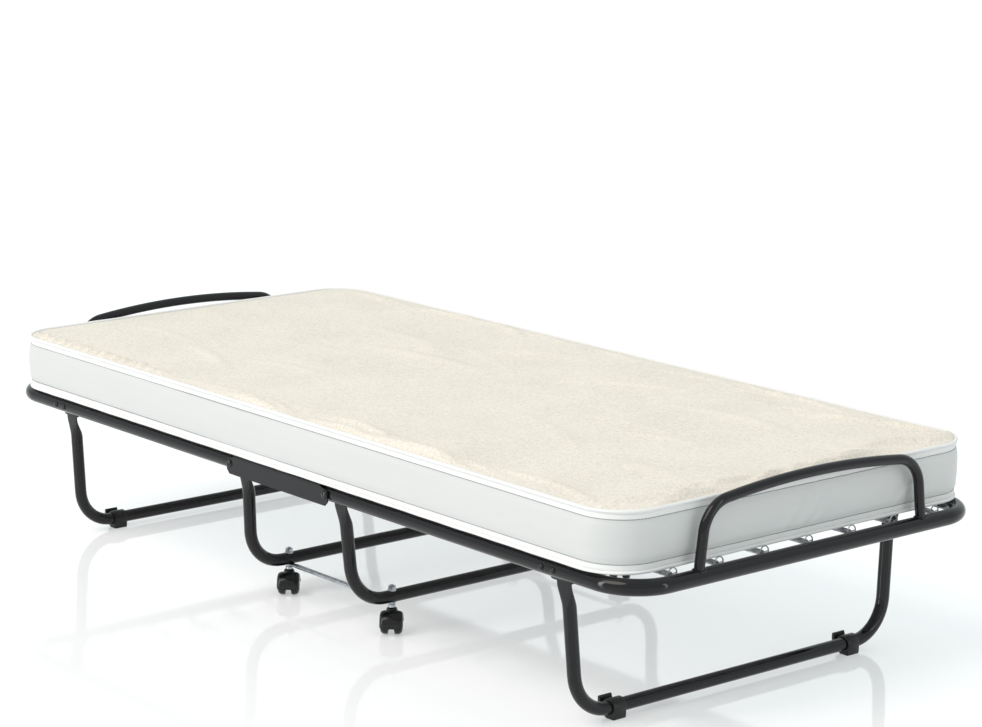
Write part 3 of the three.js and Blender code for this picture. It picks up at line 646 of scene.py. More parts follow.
class Draft:
    """A mesh being put together from lofted pieces, before it becomes an object."""

    def __init__(self) -> None:
        """Starts empty."""
        self.points: list[Vector] = []
        self.faces: list[tuple[int, ...]] = []
        self.marks: dict[str, list[float]] = {}

    def add(self, points: Iterable[Vector], faces: Iterable[Sequence[int]]) -> None:
        """Adds points and the faces between them.

        Args:
            points: the new points.
            faces: the new faces, counted from the first new point.
        """
        base = len(self.points)
        self.points.extend(points)
        self.faces.extend(tuple(base + corner for corner in face) for face in faces)

    def loft(self, rings: Sequence[Ring], caps: bool = True, round_again: bool = False) -> None:
        """Joins rings of equally many points.

        Args:
            rings: the rings, in order.
            caps: whether both ends are closed with a face.
            round_again: whether the last ring joins the first.
        """
        count = len(rings[0])
        spans = len(rings) if round_again else len(rings) - 1
        faces: list[tuple[int, ...]] = []
        for span in range(spans):
            low = span * count
            high = ((span + 1) % len(rings)) * count
            for step in range(count):
                after = (step + 1) % count
                faces.append((low + step, low + after, high + after, high + step))
        if caps and not round_again:
            faces.append(tuple(reversed(range(count))))
            faces.append(tuple(range((len(rings) - 1) * count, len(rings) * count)))
        self.add([point for ring in rings for point in ring], faces)

    def placed(self, matrix: Matrix) -> "Draft":
        """A copy of the draft, moved, turned or mirrored.

        Args:
            matrix: where it goes.

        Returns:
            The copy, with its faces still pointing out.
        """
        copy = Draft()
        copy.points = [matrix @ point for point in self.points]
        mirrored = matrix.determinant() < 0
        copy.faces = [tuple(reversed(face)) if mirrored else face for face in self.faces]
        copy.marks = dict(self.marks)
        return copy

    def merge(self, other: "Draft") -> None:
        """Takes in another draft.

        Args:
            other: the draft to add.
        """
        self.add(other.points, other.faces)

    def build(self, name: str, finish: bpy.types.Material, crease: float = 35.0) -> bpy.types.Object:
        """Makes the object.

        Args:
            name: its name.
            finish: its material.
            crease: the angle in degrees above which an edge stays sharp.

        Returns:
            The object.
        """
        mesh = bpy.data.meshes.new(name)
        mesh.from_pydata([tuple(point) for point in self.points], [], self.faces)
        work = bmesh.new()
        work.from_mesh(mesh)
        bmesh.ops.recalc_face_normals(work, faces=work.faces)
        work.to_mesh(mesh)
        work.free()
        for key, values in self.marks.items():
            mesh.attributes.new(key, "FLOAT", "POINT").data.foreach_set("value", values)
        mesh.materials.append(finish)
        mesh.shade_smooth()
        mesh.set_sharp_from_angle(angle=math.radians(crease))
        made = bpy.data.objects.new(name, mesh)
        bpy.context.scene.collection.objects.link(made)
        return made


@dataclass
class Station:
    """One place on a centreline."""

    point: Vector
    tangent: Vector
    run: float = 0.0


def bent_line(corners: Sequence[tuple[Vector, float]], per_bend: int = 12, step: float = 0.05) -> list[Station]:
    """Stations along straight lines joined by round bends.

    Args:
        corners: each corner's place and its bend's radius; the first and last radii don't count.
        per_bend: how many spans each bend has.
        step: the longest span on the straights.

    Returns:
        The stations, with the distance run at each.
    """
    knots: list[tuple[Vector, Vector]] = []
    last = len(corners) - 1
    for index, (point, radius) in enumerate(corners):
        into = (point - corners[max(index - 1, 0)][0]).normalized()
        out = (corners[min(index + 1, last)][0] - point).normalized()
        if index in (0, last):
            knots.append((point.copy(), out if index == 0 else into))
            continue
        angle = into.angle(out)
        side = (out - into * into.dot(out)).normalized()
        start = point - into * (radius * math.tan(angle / 2))
        for ring in range(per_bend + 1):
            swing = angle * ring / per_bend
            place = start + into * (radius * math.sin(swing)) + side * (radius * (1 - math.cos(swing)))
            knots.append((place, into * math.cos(swing) + side * math.sin(swing)))
    stations = [Station(*knots[0])]
    for place, tangent in knots[1:]:
        before = stations[-1]
        length = (place - before.point).length
        for part in range(1, max(1, math.ceil(length / step))):
            share = part * step / length
            if share < 0.999:
                stations.append(Station(before.point.lerp(place, share), tangent, before.run + share * length))
        stations.append(Station(place, tangent, before.run + length))
    return stations


def ring_across(centre: Vector, along: Vector, normal: Vector, half_side: float, half_normal: float,
                sides: int = 20, squareness: float = 1.0) -> Ring:
    """One ring of a tube's section.

    Args:
        centre: the ring's centre.
        along: the tube's direction.
        normal: one axis of the section, across the tube.
        half_side: the half-width across the other axis.
        half_normal: the half-width along the normal.
        sides: how many points.
        squareness: 1 for an oval, less for a rounded slab.

    Returns:
        The ring's points.
    """
    across = along.cross(normal).normalized()
    upright = across.cross(along).normalized()
    ring = []
    for step in range(sides):
        angle = TAU * step / sides
        cosine, sine = math.cos(angle), math.sin(angle)
        side = math.copysign(abs(cosine) ** squareness, cosine) * half_side
        rise = math.copysign(abs(sine) ** squareness, sine) * half_normal
        ring.append(centre + across * side + upright * rise)
    return ring


def tube(stations: Sequence[Station], normal: Vector, radius: float, wall: float = 0.0, sides: int = 20) -> Draft:
    """A round tube along stations.

    Args:
        stations: the centreline.
        normal: the normal of the centreline's plane.
        radius: the outer radius.
        wall: the wall's thickness, or 0 for closed ends.
        sides: how many points round it.

    Returns:
        The tube.
    """
    draft = Draft()
    outer = [ring_across(s.point, s.tangent, normal, radius, radius, sides) for s in stations]
    if not wall:
        draft.loft(outer)
        return draft
    inner = [ring_across(s.point, s.tangent, normal, radius - wall, radius - wall, sides) for s in stations]
    draft.loft(outer + inner[::-1], round_again=True)
    return draft


def rod(start: Vector, end: Vector, radius: float, sides: int = 10) -> Draft:
    """A straight round wire or rod.

    Args:
        start: the middle of one end.
        end: the middle of the other end.
        radius: its radius.
        sides: how many points round it.

    Returns:
        The rod.
    """
    along = (end - start).normalized()
    normal = Vector((0, 0, 1)) if abs(along.z) < 0.9 else Vector((1, 0, 0))
    return tube([Station(start, along), Station(end, along)], normal, radius, sides=sides)


def turned(profile: Sequence[Point], sides: int = 28) -> Draft:
    """A turned piece about Z.

    Args:
        profile: (radius, height) points; a zero radius closes an end.
        sides: how many points round it.

    Returns:
        The piece.
    """
    draft = Draft()
    tiny = 1e-5
    rings = [
        [Vector((max(r, tiny) * math.cos(TAU * k / sides), max(r, tiny) * math.sin(TAU * k / sides), z))
         for k in range(sides)]
        for r, z in profile
    ]
    draft.loft(rings)
    return draft


def rounded_profile(profile: Sequence[Point], radius: float) -> list[Point]:
    """A profile with its inner corners cut round.

    Args:
        profile: the sharp profile.
        radius: how far before and after a corner the round starts.

    Returns:
        The softened profile.
    """
    points = [profile[0]]
    for before, corner, after in zip(profile, profile[1:], profile[2:]):
        tip = Vector(corner)
        back, ahead = Vector(before) - tip, Vector(after) - tip
        reach = min(radius, back.length * 0.45, ahead.length * 0.45)
        start, end = tip + back.normalized() * reach, tip + ahead.normalized() * reach
        for share in (0.0, 0.33, 0.67, 1.0):
            curve = start.lerp(tip, share).lerp(tip.lerp(end, share), share)
            points.append((curve.x, curve.y))
    points.append(profile[-1])
    return points


def slab(outline: Sequence[Point], low: float, high: float, bevel: float) -> Draft:
    """A flat outline made thick along Y, with softened edges.

    Args:
        outline: (x, z) points, in order.
        low: the lower Y.
        high: the higher Y.
        bevel: how far the faces' edges are drawn in.

    Returns:
        The slab.
    """
    centre = sum((Vector(point) for point in outline), Vector((0.0, 0.0))) / len(outline)
    area = sum(a[0] * b[1] - b[0] * a[1] for a, b in zip(outline, [*outline[1:], outline[0]]))
    order = list(outline) if area < 0 else list(outline)[::-1]

    def inset(amount: float) -> list[Vector]:
        """The outline drawn in along its corners' bisectors.

        Args:
            amount: how far it is drawn in.

        Returns:
            The new outline's points.
        """
        moved = []
        for index, point in enumerate(order):
            before, tip, after = Vector(order[index - 1]), Vector(point), Vector(order[(index + 1) % len(order)])
            one, two = (tip - before).normalized(), (after - tip).normalized()
            inward = Vector((one.y + two.y, -one.x - two.x))
            if inward.length < 1e-9:
                inward = centre - tip
            inward.normalize()
            reach = amount / max(0.35, math.sqrt(max(0.0, (1 + one.dot(two)) / 2)))
            moved.append(tip + inward * reach)
        return moved

    levels = [(low, bevel), (low + bevel * 0.3, bevel * 0.3), (low + bevel, 0.0),
              (high - bevel, 0.0), (high - bevel * 0.3, bevel * 0.3), (high, bevel)]
    draft = Draft()
    draft.loft([[Vector((p.x, y, p.y)) for p in inset(amount)] for y, amount in levels])
    return draft


def arc(centre: Point, radius: float, start: float, end: float, steps: int) -> list[Point]:
    """Points on an arc, with angles in degrees."""
    angles = [math.radians(start + (end - start) * step / steps) for step in range(steps + 1)]
    return [(centre[0] + radius * math.cos(a), centre[1] + radius * math.sin(a)) for a in angles]


def mirror(end: End = End.FOOT, side: Side = Side.FAR) -> Matrix:
    """The mirroring that brings a piece made for the foot end and far side to another place."""
    return Matrix.Diagonal((end.value, side.value, 1.0, 1.0))


def at(x: float, y: float, z: float) -> Matrix:
    """A plain move."""
    return Matrix.Translation((x, y, z))


def about_y() -> Matrix:
    """Turns a piece made about Z so that its axis is +Y."""
    return Matrix.Rotation(-math.pi / 2, 4, "X")


# The frame's common places, taken from the solids.


@dataclass
class Places:
    """Where the frame's main lines run."""

    rail_radius: float = 0.015
    leg_radius: float = 0.0125
    plate: float = 0.0025
    rail_y: float = field(init=False)
    end_x: float = field(init=False)
    rail_z: float = field(init=False)
    hinge_x: float = field(init=False)
    channel: tuple[Vector, Vector] = field(init=False)
    pivot_x: float = field(init=False)
    pivot_z: float = field(init=False)
    flat_y: float = field(init=False)
    stem_x: float = field(init=False)
    stem_y: float = field(init=False)
    outer_bar_x: float = field(init=False)
    outer_bar_z: float = field(init=False)
    centre_bar_z: float = field(init=False)

    def __post_init__(self) -> None:
        """Measures the solids."""
        low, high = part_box("foot_rail")
        self.rail_y = high.y - self.rail_radius
        self.end_x = high.x - self.rail_radius
        self.rail_z = (low.z + high.z) / 2
        joints = {joint["name"]: joint for joint in frame["joints"]}
        self.hinge_x = joints["foot_fold"]["pos_m"][0]
        self.pivot_x, _, self.pivot_z = joints["foot_leg_fold"]["pos_m"]
        self.stem_x, self.stem_y, _ = joints["caster_swivel_foot_far"]["pos_m"]
        self.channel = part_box("hinge_channel_far")
        self.flat_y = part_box("foot_leg")[1].y - 0.0015
        self.outer_bar_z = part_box("foot_leg")[0].z + self.leg_radius
        clip_low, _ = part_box("foot_clip_foot_far")
        self.outer_bar_x = clip_low.x + 0.028
        self.centre_bar_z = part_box("centre_leg_foot")[0].z + self.leg_radius


def bed_corners() -> Iterator[tuple[End, Side, str]]:
    """Each end and side of the bed, with the name of that place."""
    return ((end, side, f"{end.word}_{side.word}") for end in End for side in Side)


@dataclass
class Assembly:
    """A sub-assembly: where the bed's main lines run, and the finishes it is dressed in."""

    places: Places
    finishes: Finishes

    def put(self, draft: Draft, name: str, finish: bpy.types.Material, body: str, slot: Slot, *nodes: str,
            crease: float = 35.0) -> None:
        """Builds a piece and puts it on its body.

        Args:
            draft: the piece's mesh.
            name: its name.
            finish: its material.
            body: the body it rides on.
            slot: the record's finish slot; not used.
            nodes: the solids it stands for.
            crease: the angle in degrees above which an edge stays sharp.
        """
        piece = draft.build(name, finish, crease)
        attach(piece, body)
        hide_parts(*nodes)
        log.info("%s on %s: %d faces", name, body, len(piece.data.polygons))


# The steel frame.


@dataclass
class Rails(Assembly):
    """The two U-shaped rails, with their bracket rivets."""

    bend: float = 0.085
    wall: float = 0.0015
    tail: float = 0.045
    rivet_radius: float = 0.0062
    rivet_rise: float = 0.0036

    def outline(self) -> list[Station]:
        """The foot rail's centreline.

        Returns:
            The stations.
        """
        p = self.places
        start = p.hinge_x - self.tail
        corners = [(start, -p.rail_y), (p.end_x, -p.rail_y), (p.end_x, p.rail_y), (start, p.rail_y)]
        return bent_line([(Vector((x, y, p.rail_z)), self.bend) for x, y in corners], per_bend=18, step=0.12)

    def rivet(self) -> Draft:
        """One snap-head rivet about +Y, from the bracket's inner face to its head.

        Returns:
            The piece.
        """
        p = self.places
        face = p.rail_y + p.rail_radius - 0.0012
        inner = p.rail_y - p.rail_radius - 0.003
        dome = [(self.rivet_radius * math.sin(a), face + 0.0012 + self.rivet_rise * math.cos(a))
                for a in (math.pi / 2 * k / 6 for k in range(6, -1, -1))]
        return turned([(0.0, inner), (0.003, inner), (0.003, face), (self.rivet_radius, face), *dome], 20)

    def build(self) -> None:
        """Makes both rails and their eight rivets."""
        p = self.places
        rail = tube(self.outline(), Vector((0, 0, 1)), p.rail_radius, self.wall, 32)
        for end in End:
            body = f"{end.word}_half"
            self.put(rail.placed(mirror(end)), f"{end.word}_rail_tube", self.finishes.enamel, body, Slot.ENAMEL,
                     f"{end.word}_rail")
            for side in Side:
                for number in (1, 2):
                    node = f"rivet_{end.word}_{side.word}_{number}"
                    low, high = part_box(node)
                    place = at((low.x + high.x) / 2, 0, p.rail_z) @ mirror(side=side) @ about_y()
                    self.put(self.rivet().placed(place), f"{node}_head", self.finishes.enamel, body, Slot.ENAMEL,
                             node)


@dataclass
class HingeChannels(Assembly):
    """The two pressed channels that join the rails, with their hinge bolts."""

    chamfer: float = 0.009
    fold_radius: float = 0.0028
    columns: int = 56

    def across(self) -> list[Point]:
        """The middle of the sheet, as (y, z) from the inner cheek's foot over the web to the outer cheek's.

        Returns:
            The points.
        """
        low, high = self.places.channel
        half = self.places.plate / 2
        inner, outer, top, foot, r = low.y + half, high.y - half, high.z - half, low.z, self.fold_radius
        cheek = [foot + (top - r - foot) * k / 8 for k in range(9)]
        left = [(inner, z) for z in cheek] + arc((inner + r, top - r), r, 180, 90, 5)[1:]
        right = arc((outer - r, top - r), r, 90, 0, 5) + [(outer, z) for z in reversed(cheek[:-1])]
        return left + right

    def reach(self, z: float) -> float:
        """The channel's half-length at a height on its cheeks.

        Args:
            z: the height.

        Returns:
            The half-length.
        """
        low, high = self.places.channel
        corner = low.z + self.chamfer
        shoulder = self.places.rail_z + self.chamfer
        web = self.places.hinge_x - 0.017
        if z < corner:
            return high.x - (corner - z)
        if z < shoulder:
            return high.x
        share = min(1.0, (z - shoulder) / (high.z - self.places.plate - shoulder))
        return high.x + (web - high.x) * share

    def channel(self) -> Draft:
        """The far side's channel as one bent sheet with a real thickness.

        Returns:
            The piece.
        """
        line = self.across()
        half = self.places.plate / 2
        outer_face, inner_face = [], []
        for index, (y, z) in enumerate(line):
            before, after = line[max(index - 1, 0)], line[min(index + 1, len(line) - 1)]
            direction = Vector((after[0] - before[0], after[1] - before[1])).normalized()
            out = Vector((-direction.y, direction.x)) * half
            reach = self.reach(z)
            for face, sign in ((outer_face, 1), (inner_face, -1)):
                face.append((Vector((y, z)) + out * sign, reach))
        section = outer_face + inner_face[::-1]
        draft = Draft()
        shares = [math.sin(math.pi / 2 * (2 * k / self.columns - 1)) for k in range(self.columns + 1)]
        draft.loft([[Vector((reach * share, p.x, p.y)) for p, reach in section] for share in shares])
        return draft

    def bolt(self) -> Draft:
        """A hinge bolt about +Y: dome head and washer outside, washer and hexagon nut inside.

        Returns:
            The piece.
        """
        p = self.places
        face = p.channel[1].y
        nut = p.flat_y - 0.0015
        dome = [(0.0074 * math.sin(a), face + 0.0013 + 0.0040 * math.cos(a))
                for a in (math.pi / 2 * k / 8 for k in range(8, 0, -1))]
        head = turned([(0.0, face - 0.001), (0.0082, face - 0.001), (0.0084, face + 0.0006), (0.0080, face + 0.0012),
                       (0.0076, face + 0.0013), *dome, (0.0012, face + 0.0051), (0.0, face + 0.0049)], 36)
        shank = turned([(0.0, nut - 0.0095), (0.0032, nut - 0.0095), (0.0039, nut - 0.0088), (0.0039, face)], 20)
        washer = turned([(0.0038, nut - 0.0011), (0.0088, nut - 0.0011), (0.0090, nut - 0.0006), (0.0088, nut),
                         (0.0038, nut)], 28)
        head.merge(shank)
        head.merge(washer)
        head.merge(hexagon_nut(0.0073, 0.0058).placed(at(0, 0, nut - 0.0069)))
        return head

    def build(self) -> None:
        """Makes both channels and all four bolts."""
        p = self.places
        channel = self.channel()
        for side in Side:
            node = f"hinge_channel_{side.word}"
            self.put(channel.placed(mirror(side=side)), f"{node}_sheet", self.finishes.enamel, "trolley",
                     Slot.ENAMEL, node, crease=30.0)
            for end in End:
                bolt = self.bolt().placed(mirror(end, side) @ at(p.hinge_x, 0, p.rail_z) @ about_y())
                node = f"hinge_bolt_{end.word}_{side.word}"
                self.put(bolt, f"{node}_set", self.finishes.black_bolt, "trolley", Slot.ZINC, node)


def hexagon_nut(half_flats: float, height: float) -> Draft:
    """A hexagon nut about Z, with chamfered corners.

    Args:
        half_flats: the distance from its axis to a flat.
        height: its height.

    Returns:
        The nut, standing on z = 0.
    """
    corner = half_flats / math.cos(math.pi / 6)
    draft = Draft()
    rings = []
    for z, limit in ((0.0, 0.96), (height * 0.12, 1.0), (height * 0.88, 1.0), (height, 0.96)):
        ring = []
        for step in range(36):
            angle = TAU * step / 36
            offset = (angle + math.pi / 6) % (math.pi / 3) - math.pi / 6
            ring.append(Vector((math.cos(angle), math.sin(angle), 0)) * min(half_flats / math.cos(offset),
                                                                            corner * limit) + Vector((0, 0, z)))
        rings.append(ring)
    draft.loft(rings)
    return draft


@dataclass
class LegShape:
    """A U-shaped leg with pressed-flat tops, in a frame whose pivot line is Y."""

    places: Places
    length: float
    bend: float = 0.080
    jog_start: float = 0.028
    jog_end: float = 0.063
    jog_run: float = 0.0116
    taper: float = math.radians(4.3)
    flat_rise: float = 0.0098
    flat_end: float = 0.026
    round_start: float = 0.070
    flat_half: float = 0.0185
    flat_thickness: float = 0.003

    def draft(self) -> Draft:
        """Builds the leg.

        Returns:
            The leg, hanging down from its pivots.
        """
        radius = self.places.leg_radius
        jog_y = self.places.flat_y - self.jog_run
        low_y = jog_y - (self.length - self.jog_end) * math.tan(self.taper)

        def half(sign: int) -> list[tuple[Vector, float]]:
            """One side of the U, from its top down.

            Args:
                sign: 1 for the far side and -1 for the near one.

            Returns:
                Each corner's place and its bend's radius.
            """
            return [
                (Vector((0, sign * self.places.flat_y, self.flat_rise)), 0.0),
                (Vector((0, sign * self.places.flat_y, -self.jog_start)), 0.05),
                (Vector((0, sign * jog_y, -self.jog_end)), 0.06),
                (Vector((0, sign * low_y, -self.length)), self.bend),
            ]

        stations = bent_line(half(-1) + half(1)[::-1], per_bend=12, step=0.004)
        rings = []
        previous = None
        for station in stations:
            z = station.point.z
            sparse = z < -self.round_start - 0.01 and previous is not None
            if sparse and (station.point - previous).length < 0.007:
                continue
            previous = station.point
            share = min(1.0, max(0.0, (z + self.round_start) / (self.round_start - self.flat_end)))
            flat = share * share * (3 - 2 * share)
            half_side = radius + (self.flat_half - radius) * flat
            if z > 0:
                half_side *= math.sqrt(max(0.12, 1 - (z / 0.0125) ** 2))
            half_depth = radius + (self.flat_thickness / 2 - radius) * flat
            rings.append(ring_across(station.point, station.tangent, Vector((1, 0, 0)), half_depth, half_side,
                                     28, 1 - 0.62 * flat))
        draft = Draft()
        draft.loft(rings)
        return draft


@dataclass
class Legs(Assembly):
    """The four U-shaped legs: two on the trolley's casters and one folding leg at each end."""

    def placed(self, pivot_x: float, pivot_z: float, bar_x: float, bar_z: float) -> Draft:
        """One leg on the foot side, leaning from its pivot to its bar.

        Args:
            pivot_x: the pivot's X.
            pivot_z: the pivot's height.
            bar_x: the bar's X.
            bar_z: the bar's height.

        Returns:
            The leg in place.
        """
        splay = bar_x - pivot_x
        length = math.hypot(pivot_z - bar_z, splay)
        lean = Matrix.Rotation(-math.asin(splay / length), 4, "Y")
        return LegShape(self.places, length).draft().placed(at(pivot_x, 0, pivot_z) @ lean)

    def build(self) -> None:
        """Makes all four legs."""
        p = self.places
        centre = self.placed(p.hinge_x, p.rail_z, p.stem_x, p.centre_bar_z)
        outer = self.placed(p.pivot_x, p.pivot_z, p.outer_bar_x, p.outer_bar_z)
        for end in End:
            for leg, node, body in ((centre, f"centre_leg_{end.word}", "trolley"),
                                    (outer, f"{end.word}_leg", f"{end.word}_leg_frame")):
                self.put(leg.placed(mirror(end)), f"{node}_tube", self.finishes.enamel, body, Slot.ENAMEL, node)


@dataclass
class LegBrackets(Assembly):
    """The pressed brackets that the folding legs turn on, with their pins."""

    tab_height: float = 0.0085

    def bracket(self, low: Vector, high: Vector) -> Draft:
        """A bracket on the foot end's far side: a plate with a bent stop.

        Args:
            low: the solid's lowest corner.
            high: the solid's highest corner.

        Returns:
            The bracket.
        """
        face = high.y - self.places.plate
        r = 0.006
        outline = (arc((low.x + r, high.z - r), r, 180, 90, 5) + arc((high.x - r, high.z - r), r, 90, 0, 5)
                   + arc((high.x - 0.0012, low.z + 0.0012), 0.0012, 0, -90, 3)
                   + arc((low.x + r, low.z + r), r, -90, -180, 5))
        draft = slab(outline, face, high.y, 0.0005)
        top = low.z + self.tab_height
        tab = [(high.x - self.places.plate, low.z), (high.x, low.z), (high.x, top), (high.x - self.places.plate, top)]
        draft.merge(slab(tab, low.y, high.y - 0.0004, 0.0006))
        return draft

    def pin(self) -> Draft:
        """A leg's pin about +Y: a flanged head inboard and a riveted shank.

        Returns:
            The piece.
        """
        p = self.places
        inner = p.flat_y - 0.0018
        bracket = p.channel[0].y + p.plate
        return turned([(0.0, inner - 0.0030), (0.0062, inner - 0.0030), (0.0072, inner - 0.0021), (0.0072, inner),
                       (0.0039, inner), (0.0039, bracket), (0.0, bracket)], 28)

    def build(self) -> None:
        """Makes four brackets and four pins."""
        p = self.places
        for end, side, place in bed_corners():
            body = f"{end.word}_half"
            bracket = self.bracket(*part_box("leg_bracket_foot_far")).placed(mirror(end, side))
            self.put(bracket, f"leg_bracket_{place}_plate", self.finishes.enamel, body, Slot.ENAMEL,
                     f"leg_bracket_{place}")
            pin = self.pin().placed(mirror(end, side) @ at(p.pivot_x, 0, p.pivot_z) @ about_y())
            self.put(pin, f"leg_pin_{place}_head", self.finishes.zinc, body, Slot.ZINC, f"leg_pin_{place}")


@dataclass
class GuardHoops(Assembly):
    """The two hoops that keep the mattress from sliding off, welded to the end rails."""

    radius: float = 0.0095
    half_width: float = 0.279
    shoulder_inset: float = 0.0145
    shoulder_rise: float = 0.1244
    peak_rise: float = 0.156
    corner_radius: float = 0.062
    straight: float = 0.0057

    def draft(self) -> Draft:
        """The foot hoop with its two weld beads.

        Returns:
            The piece.
        """
        p = self.places
        shoulder = self.half_width - self.shoulder_inset
        slope = math.atan2(self.peak_rise - self.shoulder_rise, shoulder)
        lean = math.atan2(self.shoulder_inset, self.shoulder_rise - p.rail_radius)
        turn = math.pi / 2 - lean - slope
        reach = shoulder / math.cos(slope) - self.corner_radius * math.tan(turn / 2) - self.straight
        crown = reach / math.tan(slope)
        foot = p.rail_radius - 0.004
        line = [(-self.half_width, foot, 0), (-shoulder, self.shoulder_rise, self.corner_radius),
                (0, self.peak_rise, crown), (shoulder, self.shoulder_rise, self.corner_radius),
                (self.half_width, foot, 0)]
        corners = [(Vector((p.end_x, y, p.rail_z + rise)), radius) for y, rise, radius in line]
        draft = tube(bent_line(corners, per_bend=18, step=0.02), Vector((1, 0, 0)), self.radius, sides=28)
        for sign in (-1, 1):
            draft.merge(self.weld(Vector((p.end_x, sign * self.half_width, p.rail_z))))
        return draft

    def weld(self, rail: Vector) -> Draft:
        """A rippled bead of weld round a hoop's foot.

        Args:
            rail: the point on the rail's centreline below the foot.

        Returns:
            The bead, which follows the rail's round top.
        """
        rings = []
        steps = 40
        for step in range(steps):
            angle = TAU * step / steps
            out = Vector((math.cos(angle), math.sin(angle), 0))
            x = (self.radius + 0.0008) * out.x
            z = math.sqrt(self.places.rail_radius ** 2 - x ** 2)
            centre = rail + out * (self.radius + 0.0008) + Vector((0, 0, z))
            along = Vector((-out.y, out.x, 0))
            size = 0.0022 * (1 + 0.16 * math.sin(9 * angle))
            rings.append(ring_across(centre, along, Vector((0, 0, 1)), size, size, 8))
        draft = Draft()
        draft.loft(rings, round_again=True)
        return draft

    def build(self) -> None:
        """Makes both hoops."""
        for end in End:
            self.put(self.draft().placed(mirror(end)), f"{end.word}_hoop_tube", self.finishes.enamel,
                     f"{end.word}_half", Slot.ENAMEL, f"{end.word}_hoop")


# The sprung decks.


